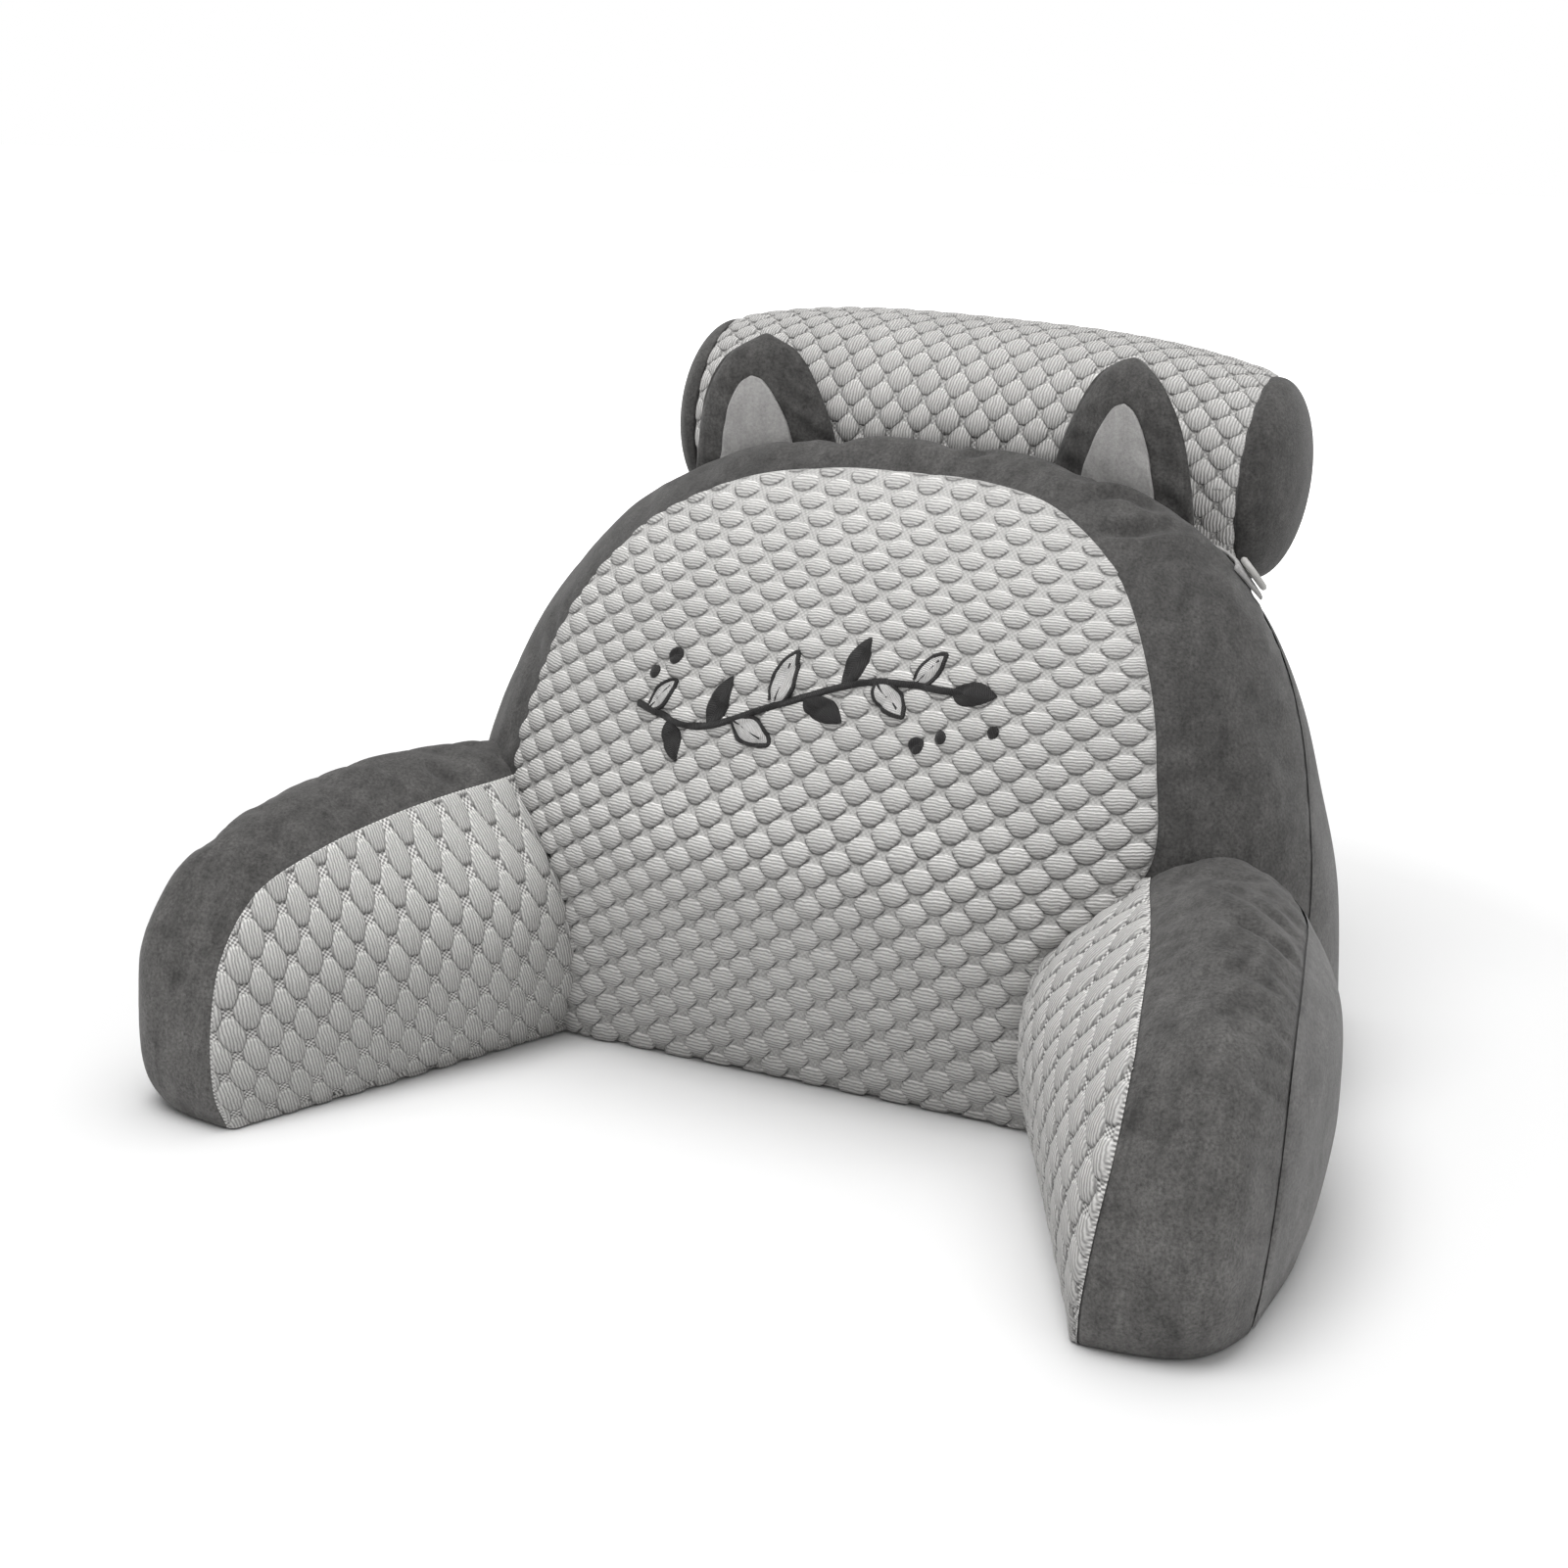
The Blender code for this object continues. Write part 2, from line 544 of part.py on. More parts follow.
def make_roll(materials, parent):
    frame = roll_frame()
    dome, side = roll_profile(0.0)
    sunk, _ = roll_profile(PANEL_MIDDLE + GAP)
    half = sunk + side
    whole = half + [(r, -x) for r, x in reversed(half[:-1])]
    roll = place("neck_roll", mesh_from_grids("neck_roll", [turned(whole)]), materials["jacquard"], parent)
    roll.matrix_local = frame
    under, _ = roll_profile(PANEL_MIDDLE)
    shell = dome + list(reversed(under))
    for side_name, sign in (("right", 1), ("left", -1)):
        grid = turned([(r, sign * x) for r, x in shell])
        end = place("neck_roll_end_" + side_name, mesh_from_grids("neck_roll_end_" + side_name, [grid]),
                    materials["velour_dark"], parent)
        end.matrix_local = frame


# ---------------------------------------------------------------- straps and buttons
def ribbon(points, normals):
    """Closed strip of STRAP_WIDTH whose underside runs through points."""
    columns = []
    for k, (p, n) in enumerate(zip(points, normals)):
        along = points[min(k + 1, len(points) - 1)] - points[max(k - 1, 0)]
        across = along.cross(n).normalized() * (STRAP_WIDTH / 2)
        up = n * STRAP_THICKNESS
        columns.append([p - across, p + across, p + across + up, p - across + up, p - across])
    caps = [[[c[0], c[3]], [c[1], c[2]]] for c in (columns[0], columns[-1])]
    return [columns] + caps


def gusset_spot(t, share, side):
    """Point and outward direction on the gusset at rib t, for side +1 (right) or -1 (left)."""
    def at(t, share):
        rib = rib_between(BACK_RIBS, t)
        return rib_point(rib if side > 0 else left_rib(rib), share)
    step = 0.02
    share = min(share, 1 - step)
    spot = at(t, share)
    outward = (at(t + step, share) - spot).cross(at(t, share + step) - spot).normalized()
    return spot, outward if outward.z > 0 else -outward


def off_the_roll(point):
    """Point of a strap's underside, pushed out of the roll where it would cut into it."""
    frame = roll_frame()
    local = frame.inverted() @ point
    need = roll_radius(abs(local.x) - STRAP_WIDTH / 2) + STRAP_THICKNESS + STRAP_LIFT
    stretch = max(1.0, need / math.hypot(local.y, local.z))
    return frame @ Vector((local.x, local.y * stretch, local.z * stretch))


def roll_spot(along, degrees, side):
    """Underside point of a strap on the roll, and the direction towards the roll's axis."""
    radius = roll_radius(along - STRAP_WIDTH / 2) + STRAP_THICKNESS + STRAP_LIFT
    angle = math.radians(degrees)
    frame = roll_frame()
    spot = frame @ Vector((along * side, radius * math.cos(angle), radius * math.sin(angle)))
    return spot, (frame @ Vector((along * side, 0, 0)) - spot).normalized()


def make_straps(materials, parent):
    for name, side in (("right", 1), ("left", -1)):
        spots = []
        for t, share in STRAP_ON_GUSSET[side]:
            spot, outward = gusset_spot(t, share, side)
            spots.append((spot + outward * STRAP_LIFT, outward))
        spots += [roll_spot(along, degrees, side) for along, degrees in STRAP_ON_ROLL]
        points, normals = [], []
        for t in even_stations([spot for spot, _ in spots], 0, len(spots) - 1, STRAP_STEPS):
            points.append(off_the_roll(curve_point([spot for spot, _ in spots], t)))
            normals.append(curve_point([n for _, n in spots], t).normalized())
        place("roll_strap_" + name, mesh_from_grids("roll_strap_" + name, ribbon(points, normals)),
              materials["velour_pale"], parent)

        spot, outward = spots[1]
        grid = []
        for k in range(BUTTON_SIDES + 1):
            angle = 2 * math.pi * (k % BUTTON_SIDES) / BUTTON_SIDES
            grid.append([Vector((BUTTON_RADIUS * r * math.cos(angle), BUTTON_RADIUS * r * math.sin(angle),
                                 BUTTON_THICKNESS * z)) for r, z in BUTTON_OUTLINE])
        button = place("strap_button_" + name, mesh_from_grids("strap_button_" + name, [grid]),
                       materials["button"], parent)
        seat = spot + outward * (STRAP_THICKNESS + GAP)
        button.matrix_local = Matrix.Translation(seat) @ outward.to_track_quat("Z", "Y").to_matrix().to_4x4()


def main():
    clear_scene()
    materials = {name: make_material(name) for name in COLOURS}
    foot = bpy.data.objects.new("pillow_foot", None)
    bpy.context.collection.objects.link(foot)
    foot.location = (0.0, Y_SHIFT, 0.0)
    cutter = make_backrest(materials, foot)
    make_arms(materials, foot, cutter)
    make_ears(materials, foot, cutter)
    make_roll(materials, foot)
    make_straps(materials, foot)


main()
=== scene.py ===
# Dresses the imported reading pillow: quilted knit panels, stuffed velour sides, arms, ears and neck roll.
# Metres, +Z up, -Y towards the front. Left and right are as seen from the front.
import math

import bmesh
import bpy
import numpy as np
from mathutils import Matrix, Vector
from mathutils.bvhtree import BVHTree


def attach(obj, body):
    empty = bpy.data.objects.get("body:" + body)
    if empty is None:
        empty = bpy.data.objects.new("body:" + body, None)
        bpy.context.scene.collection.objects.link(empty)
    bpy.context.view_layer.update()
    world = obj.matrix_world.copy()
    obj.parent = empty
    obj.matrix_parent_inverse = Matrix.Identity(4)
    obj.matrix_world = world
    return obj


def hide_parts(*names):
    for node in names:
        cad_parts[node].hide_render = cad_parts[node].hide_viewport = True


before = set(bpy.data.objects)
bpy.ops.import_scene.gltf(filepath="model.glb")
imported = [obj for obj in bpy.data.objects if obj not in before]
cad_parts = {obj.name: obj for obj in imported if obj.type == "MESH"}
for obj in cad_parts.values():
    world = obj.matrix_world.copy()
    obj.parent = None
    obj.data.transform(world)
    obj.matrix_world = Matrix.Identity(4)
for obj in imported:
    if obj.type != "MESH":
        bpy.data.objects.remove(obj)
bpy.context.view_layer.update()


pillow = {
    "frontReach": 0.1829,     # foot of the backrest to the front of the arms
    "depth": 0.5276,          # front of the arms to the back of the neck roll
    "rim": 0.0007,            # how deep the stuffing lies below a panel's sewn edge
    "under": 0.0034,          # and below its middle
    "clear": 0.0008,          # air between pieces that touch
    "floorGap": 0.0006,       # a panel's lower edge stays this far above the floor
}
shiftBack = pillow["frontReach"] - pillow["depth"] / 2    # y = 0 in the drawing is the backrest's foot
bothSides = (("Right", 1), ("Left", -1))


def drawn(table):
    # a table of points from the drawing, moved so that the pillow's middle is over the origin
    return np.array(table, float) + (0, shiftBack, 0)


# curves and patches, all on numpy arrays of points
def hermite(a, b, slopeA, slopeB, f):
    return (a * (2 * f ** 3 - 3 * f ** 2 + 1) + slopeA * (f ** 3 - 2 * f ** 2 + f)
            + b * (3 * f ** 2 - 2 * f ** 3) + slopeB * (f ** 3 - f ** 2))


def throughKeys(keys, t):
    # smooth curve through keys; t counts keys, so 2.5 is halfway from key 2 to key 3
    keys = np.asarray(keys, float)
    t = np.atleast_1d(np.asarray(t, float))
    wide = np.concatenate([[2 * keys[0] - keys[1]], keys, [2 * keys[-1] - keys[-2]]])
    i = np.clip(t.astype(int), 0, len(keys) - 2)
    f = (t - i).reshape((-1,) + (1,) * (keys.ndim - 1))
    slopeA = (wide[i + 2] - wide[i]) / 2
    slopeB = (wide[i + 3] - wide[i + 1]) / 2
    return hermite(wide[i + 1], wide[i + 2], slopeA, slopeB, f)


def evenTimes(keys, start, end, count):
    # places on the curve that cut it into count pieces of equal length
    times = np.linspace(start, end, 401)
    steps = np.linalg.norm(np.diff(throughKeys(keys, times), axis=0), axis=-1)
    length = np.concatenate([[0], np.cumsum(steps)])
    return np.interp(np.linspace(0, length[-1], count + 1), length, times)


def evenCurve(keys, count):
    return throughKeys(keys, evenTimes(keys, 0, len(keys) - 1, count))


def acrossRibs(ribs, share):
    # points across each rib: share 0 is the first seam, 0.5 the fullest point, 1 the second seam
    share = np.broadcast_to(share, (len(ribs), np.shape(share)[-1]))[..., None]
    first, crest, second = (ribs[:, k][:, None] for k in range(3))
    through = (second - first) / 2
    low = share <= 0.5
    f = np.where(low, share * 2, share * 2 - 1)
    a, b = np.where(low, first, crest), np.where(low, crest, second)
    slopeA = np.where(low, (crest - first) * 1.5 - through * 0.5, through)
    slopeB = np.where(low, through, (second - crest) * 1.5 - through * 0.5)
    return hermite(a, b, slopeA, slopeB, f)


def patch(low, high, left, right):
    # surface spanned by four edges; low and high run left to right, left and right run up
    u = np.linspace(0, 1, len(low))[:, None, None]
    v = np.linspace(0, 1, len(left))[None, :, None]
    ruled = low[:, None] * (1 - v) + high[:, None] * v + left[None] * (1 - u) + right[None] * u
    corners = (low[0] * (1 - u) + low[-1] * u) * (1 - v) + (high[0] * (1 - u) + high[-1] * u) * v
    return ruled - corners


def mix(a, b, share):
    return a + (b - a) * share


def smooth(low, high, value):
    t = np.clip((value - low) / (high - low), 0, 1)
    return t * t * (3 - 2 * t)


def gridNormals(grid, flip=False):
    along = np.gradient(grid, axis=0)
    up = np.gradient(grid, axis=1)
    normal = np.cross(along, up) * (-1 if flip else 1)
    size = np.linalg.norm(normal, axis=-1, keepdims=True)
    return normal / np.maximum(size, 1e-12)


def runLengths(grid, axis):
    # distance walked along the grid from its first line
    steps = np.linalg.norm(np.diff(grid, axis=axis), axis=-1)
    first = np.zeros_like(np.take(steps, [0], axis=axis))
    return np.concatenate([first, np.cumsum(steps, axis=axis)], axis=axis)


def edgeDistance(grid, sides):
    # rough distance of each grid point to the nearest of the named edges: left, right, top
    across, up = runLengths(grid, 0), runLengths(grid, 1)
    far = {"l": across, "r": across[-1:] - across, "t": up[:, -1:] - up}
    return np.minimum.reduce([far[side] for side in sides])


def aroundAxis(along, radius, angle):
    # points around the x axis
    return np.stack(np.broadcast_arrays(along, radius * np.cos(angle), radius * np.sin(angle)), -1)


def roughly(points, size, seed):
    # slow uneven wobble between about -1 and 1, the same on every run
    rng = np.random.default_rng(seed)
    total = np.zeros(points.shape[:-1])
    for _ in range(6):
        wave = rng.normal(size=3)
        wave *= 2 * math.pi / (size * np.linalg.norm(wave)) * rng.uniform(0.7, 1.5)
        total += np.sin(points @ wave + rng.uniform(0, 6.3))
    return total / 3.2


# meshes
def meshObject(name, grids, material, fields=None, closed=False, flip=False):
    # one mesh from grids of points; equal points become one. fields are named values at the grid points
    points = np.concatenate([g.reshape(-1, 3) for g in grids])
    _, first, index = np.unique(np.round(points / 0.00002).astype(np.int64), axis=0,
                                return_index=True, return_inverse=True)
    index = index.reshape(-1)
    quads, start = [], 0
    for g in grids:
        number = np.arange(g.shape[0] * g.shape[1]).reshape(g.shape[:2]) + start
        start += number.size
        quad = np.stack([number[:-1, :-1], number[1:, :-1], number[1:, 1:], number[:-1, 1:]], -1)
        quads.append(quad.reshape(-1, 4))
    quads = index[np.concatenate(quads)]
    if flip:
        quads = quads[:, ::-1]
    faces = []
    for quad in quads.tolist():
        corners = [c for k, c in enumerate(quad) if c != quad[k - 1]]
        if len(set(corners)) > 2:
            faces.append(corners)
    data = bpy.data.meshes.new(name)
    data.from_pydata(points[first].tolist(), [], faces)
    for field, values in (fields or {}).items():
        flat = np.concatenate([v.reshape(len(v) * len(v[0]), -1) for v in values])[first]
        kind, part = ("FLOAT_VECTOR", "vector") if flat.shape[1] == 3 else ("FLOAT", "value")
        layer = data.attributes.new(field, kind, "POINT")
        layer.data.foreach_set(part, flat.astype(np.float32).ravel())
    if closed:
        mesh = bmesh.new()
        mesh.from_mesh(data)
        bmesh.ops.recalc_face_normals(mesh, faces=mesh.faces)
        if mesh.calc_volume(signed=True) < 0:
            bmesh.ops.reverse_faces(mesh, faces=mesh.faces)
        mesh.to_mesh(data)
        mesh.free()
    data.shade_smooth()
    data.materials.append(material)
    piece = bpy.data.objects.new(name, data)
    bpy.context.collection.objects.link(piece)
    return piece, index


def vertexData(data, what="co"):
    flat = np.empty(len(data.vertices) * 3, np.float32)
    data.vertices.foreach_get(what, flat)
    return flat.reshape(-1, 3).astype(float)


def setPoints(piece, points):
    piece.data.vertices.foreach_set("co", points.astype(np.float32).ravel())
    piece.data.update()


def subdivided(piece):
    # one round of subdivision, kept as the piece's own mesh
    finer = piece.modifiers.new("finer", "SUBSURF")
    finer.levels = finer.render_levels = 1
    ready = piece.evaluated_get(bpy.context.evaluated_depsgraph_get())
    data = bpy.data.meshes.new_from_object(ready)
    piece.modifiers.clear()
    piece.data = data
    data.name = piece.name
    data.shade_smooth()
    return piece


def finished(piece, node):
    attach(piece, "root")
    if node:
        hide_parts(node)
    return piece


# materials
class Nodes:
    # short forms for the shader nodes of one material
    def __init__(self, name):
        self.material = bpy.data.materials.new(name)
        self.material.use_nodes = True
        self.tree = self.material.node_tree
        self.shader = self.tree.nodes["Principled BSDF"]

    def link(self, value, socket):
        if hasattr(value, "is_output"):
            self.tree.links.new(value, socket)
        else:
            socket.default_value = value

    def add(self, kind, inputs=(), output=0, **settings):
        node = self.tree.nodes.new(kind)
        for key, value in settings.items():
            setattr(node, key, value)
        for key, value in dict(inputs).items():
            self.link(value, node.inputs[key])
        return node.outputs[output]

    def math(self, operation, *values):
        return self.add("ShaderNodeMath", dict(enumerate(values)), operation=operation)

    def times(self, value, *factors):
        for factor in factors:
            value = self.math("MULTIPLY", value, factor)
        return value

    def plus(self, value, *others):
        for other in others:
            value = self.math("ADD", value, other)
        return value

    def minus(self, a, b):
        return self.math("SUBTRACT", a, b)

    def size(self, value):
        return self.math("ABSOLUTE", value)

    def waves(self, value, pitch):
        # 0 to 1 and back along the value, once in every pitch
        return self.ramp(self.math("SINE", self.times(value, 2 * math.pi / pitch)), -1.0, 1.0)

    def place(self):
        return self.add("ShaderNodeTexCoord", output=3)

    def parts(self, vector):
        # its x, y and z
        split = self.tree.nodes.new("ShaderNodeSeparateXYZ")
        self.link(vector, split.inputs[0])
        return split.outputs

    def noise(self, place, scale, detail, rough):
        return self.add("ShaderNodeTexNoise", {"Vector": place, "Scale": scale, "Detail": detail,
                                               "Roughness": rough})

    def ramp(self, value, low, high, toLow=0.0, toHigh=1.0):
        return self.add("ShaderNodeMapRange", {"Value": value, "From Min": low, "From Max": high,
                                               "To Min": toLow, "To Max": toHigh})

    def blend(self, share, a, b):
        return self.add("ShaderNodeMix", {"Factor": share, "A": a, "B": b}, data_type="FLOAT")

    def tint(self, colour, factor):
        # a fixed colour made lighter or darker by a factor
        return self.add("ShaderNodeVectorMath", {0: colour[:3], 3: factor}, operation="SCALE")

    def bump(self, height, strength, distance):
        normal = self.add("ShaderNodeBump",
                          {"Height": height, "Strength": strength, "Distance": distance})
        self.link(normal, self.shader.inputs["Normal"])

    def finish(self, colour, roughness, sheen=0.0, sheenRough=0.5):
        self.link(colour, self.shader.inputs["Base Color"])
        self.link(roughness, self.shader.inputs["Roughness"])
        self.shader.inputs["Specular IOR Level"].default_value = 0.25
        self.shader.inputs["Sheen Weight"].default_value = sheen
        self.shader.inputs["Sheen Roughness"].default_value = sheenRough
        return self.material


velour = {
    "dark": (0.072, 0.070, 0.068),      # gusset, arms, ears, roll ends
    "side": (0.100, 0.098, 0.096),      # rear panel and the arms' outer panels
    "pale": (0.385, 0.378, 0.372),      # ear linings and straps
    # how much the brushed nap changes the tone: large clouds, strokes, small patches, grain
    "mottle": 0.34, "streak": 0.50, "patch": 0.30, "grain": 0.95,
    "paintedLightLowHigh": (1.62, 0.90),            # painted light and shade: the velour is drawn lighter low down and a little darker higher up
    "sheen": 0.15,
}


def makeVelour(name, colour, rough, sheen):
    # rough is the share of the marks in the pile, 1 for the dark velour
    n = Nodes(name)
    marks = ("mottle", "streak", "patch", "grain")
    mottle, streaks, patches, grains = (rough * velour[mark] / 2 for mark in marks)
    place = n.place()
    cloud = n.noise(place, 16.0, 4.0, 0.62)
    brushed = n.add("ShaderNodeMapping", {"Vector": place, "Rotation": (0.4, 0.3, 0.5),
                                          "Scale": (120.0, 45.0, 24.0)})
    streak = n.noise(brushed, 1.0, 4.0, 0.62)
    patch = n.noise(place, 110.0, 3.0, 0.6)
    grain = n.noise(place, 620.0, 3.0, 0.65)
    pile = n.noise(place, 2400.0, 1.0, 0.5)
    tone = n.plus(n.ramp(cloud, 0.32, 0.68, 1 - mottle, 1 + mottle),
                  n.ramp(streak, 0.3, 0.7, -streaks, streaks),
                  n.ramp(patch, 0.3, 0.7, -patches, patches))
    # painted light and shade by height: the velour is lighter low down and darker higher up
    tone = n.times(tone, n.ramp(grain, 0.25, 0.75, 1 - grains, 1 + grains),
                   n.ramp(n.parts(place)[2], 0.02, 0.18, *velour["paintedLightLowHigh"]))
    n.bump(n.plus(grain, pile, n.times(streak, 2.0)), 0.35, 0.0006)
    return n.finish(n.tint(colour, tone), n.ramp(cloud, 0.3, 0.7, 0.92, 0.80), sheen, 0.45)


knit = {
    "colour": (0.560, 0.552, 0.540),
    "ribPitch": 1.75, "ribWobble": 0.5,       # millimetres
    "ribDark": 0.60, "ribBright": 1.14,       # tone between the ribs and on them
    "shadowLineWidth": 0.10,                        # width of the painted shadow line under each puff
    "floorShadeTone": 0.84,                          # painted shade: the knit is drawn a little darker near the floor
    "rimTone": 1.32,                          # the light on a puff's upper rim
    "meshPitch": 2.8,                         # the loose knit between the puffs, in millimetres
    "seam": (0.0010, 0.0025),                 # depth and width of the drawn-in edge of a knit panel
    "seamCalm": (0.0002, 0.003),              # no puffs at its seam, full puffs this far from it
}


def puffPlaces(n, across, up, q):
    # shader version of puffHeight: ring distance, place from head (1) to foot (-1), place across a puff
    rings = []
    flatFrom, flatTo, heightLeft = q["flatter"]
    steep = 2 / q["puffUp"]
    for half in (0.0, 0.5):
        x = n.minus(n.math("DIVIDE", across, q["pitchAcross"]), half)
        y = n.minus(n.math("DIVIDE", up, q["pitchUp"]), half)
        x = n.minus(x, n.math("ROUND", x))
        y = n.times(n.minus(y, n.math("ROUND", y)), q["pitchUp"])
        y = n.minus(y, n.times(x, q["pitchAcross"] * q["slant"]))
        x = n.times(n.size(x), 2 * q["pitchAcross"] / q["puffAcross"])
        y = n.times(y, n.ramp(up, flatFrom, flatTo, steep, steep / heightLeft))
        upper = n.math("MAXIMUM", y, 0.0)
        tall = n.plus(n.size(y), n.times(upper, q["lowHead"]))
        upper = n.times(upper, q["taperTop"] - q["taperFoot"])
        wide = n.plus(x, n.plus(upper, n.times(tall, q["taperFoot"])))
        total = n.plus(n.math("POWER", tall, q["square"]), n.math("POWER", wide, q["square"]))
        rings.append((n.math("POWER", total, 1 / q["square"]), y, x))
    (first, firstY, firstX), (second, secondY, secondX) = rings
    contact = n.minus(1.0, n.times(n.size(n.minus(first, second)), 0.5))
    ring = n.math("MAXIMUM", n.math("MINIMUM", first, second), contact)
    other = n.math("LESS_THAN", second, first)
    return ring, n.blend(other, firstY, secondY), n.blend(other, firstX, secondX)


def makeKnit(name, q):
    n = Nodes(name)
    across, up, calm = n.parts(n.add("ShaderNodeAttribute", output=1, attribute_name="cloth"))
    ring, head, side = puffPlaces(n, across, up, q)
    place = n.place()
    z = n.parts(place)[2]
    wobble = n.noise(place, 240.0, 2.0, 0.5)
    yarn = n.noise(place, 1300.0, 2.0, 0.6)
    cloud = n.noise(place, 38.0, 2.0, 0.5)
    ribPlace = n.minus(up, n.times(across, q["slant"])) if q["ribs"] == "level" else across
    ribPlace = n.plus(ribPlace, n.ramp(wobble, 0.2, 0.8, -knit["ribWobble"], knit["ribWobble"]),
                      n.times(side, side, q["bow"]))
    rib = n.waves(ribPlace, knit["ribPitch"])
    diagonals = [n.math("SINE", n.times(n.math(kind, across, up), 2 * math.pi / knit["meshPitch"]))
                 for kind in ("ADD", "SUBTRACT")]
    loose = n.ramp(n.plus(*diagonals), -1.2, 1.2)
    onPuff = n.times(n.ramp(ring, 1.02, 0.98), calm)
    # painted light and shade: the ribs are drawn lighter at a puff's head and darker at its foot
    ribTone = n.times(n.ramp(rib, 0.0, 0.75, knit["ribDark"], knit["ribBright"]),
                      n.ramp(head, -0.9, 0.9, q["footShadedTone"], q["headLitTone"]))
    gapTone = n.times(n.ramp(loose, 0.2, 0.8, q["gapHoles"], q["gapTone"]),
                      n.ramp(yarn, 0.25, 0.75, 0.90, 1.08))
    # painted shadow: a dark line along each puff's lower edge, darker low down than high up; the bump also
    # presses it in
    under = n.ramp(n.size(n.minus(ring, 1.02)), 0.0, knit["shadowLineWidth"], 1.0, 0.0)
    foot = n.times(under, n.ramp(head, q["shadowLineFrom"], q["shadowLineFrom"] - 0.4))
    rim = n.ramp(n.size(n.minus(ring, 0.90)), 0.0, 0.09, 1.0, 0.0)
    crown = n.times(rim, n.ramp(head, 0.25, 0.80))
    # painted shade: the height ramp with floorShadeTone draws the knit darker near the floor
    tone = n.times(n.blend(onPuff, gapTone, ribTone),
                   n.ramp(z, 0.02, 0.14, knit["floorShadeTone"], 1.0),
                   n.blend(n.times(foot, calm), 1.0, n.ramp(z, 0.12, 0.34, *q["shadowLineTones"])),
                   n.ramp(n.times(crown, calm), 0.0, 1.0, 1.0, knit["rimTone"]),
                   n.ramp(cloud, 0.3, 0.7, 0.96, 1.04),
                   n.ramp(yarn, 0.2, 0.8, 0.96, 1.04))
    height = n.plus(n.blend(onPuff, n.times(loose, 0.6), rib), n.times(yarn, 0.3), n.times(foot, -1.6))
    n.bump(height, 0.9, 0.0006)
    return n.finish(n.tint(knit["colour"], tone), n.ramp(yarn, 0.2, 0.8, 0.78, 0.68), 0.08, 0.4)


darkVelour = makeVelour("velourDark", velour["dark"], 1.0, velour["sheen"])
sideVelour = makeVelour("velourSide", velour["side"], 0.8, velour["sheen"])
paleVelour = makeVelour("velourPale", velour["pale"], 0.4, 0.2)
print("pillow: velours ready")


def puffHeight(across, up, q):
    # relief of the staggered puffs, 0 to 1; both places are in millimetres
    ring = np.full(across.shape, 9.0)
    further = ring
    fall = np.zeros(across.shape)
    for half in (0.0, 0.5):
        x = across / q["pitchAcross"] - half
        y = up / q["pitchUp"] - half
        x = (x - np.round(x)) * q["pitchAcross"]
        y = ((y - np.round(y)) * q["pitchUp"] - x * q["slant"]) * 2 / q["puffUp"]
        y = y / np.interp(up, q["flatter"][:2], (1.0, q["flatter"][2]))
        x = np.abs(x) * 2 / q["puffAcross"]
        taper = np.where(y > 0, q["taperTop"], q["taperFoot"])
        tall = np.abs(y) + np.maximum(y, 0) * q["lowHead"]
        here = (tall ** q["square"] + (x + taper * np.abs(y)) ** q["square"]) ** (1 / q["square"])
        fall = np.where(here < ring, np.clip((1 - y) / 2, 0, 1), fall)
        further = np.where(here < ring, ring, here)
        ring = np.minimum(ring, here)
    # where two puffs touch, both end on the line between them
    ring = np.maximum(ring, 1 - (further - ring) / 2)
    # a puff rises slowly from its head, is fullest below its middle and ends in a steep foot
    full = q["fullest"]
    steepFoot = 1 - 0.25 * ((fall - full) / (1 - full)) ** 2
    rise = np.where(fall < full, np.sin(fall / full * math.pi / 2), steepFoot)
    return (0.30 + 0.70 * rise) * (1 - smooth(0.86, 1.08, ring)) * (1 - 0.25 * np.minimum(ring, 1) ** 2)


def knitFields(grid, across, up, calm, q):
    # displacement share and the places that the knit's material reads; the cloth is a little uneven
    across = across + q["uneven"] * roughly(grid, 0.06, 21)
    up = up + q["uneven"] * roughly(grid, 0.06, 22)
    return puffHeight(across, up, q) * calm, np.stack([across, up, calm], -1)


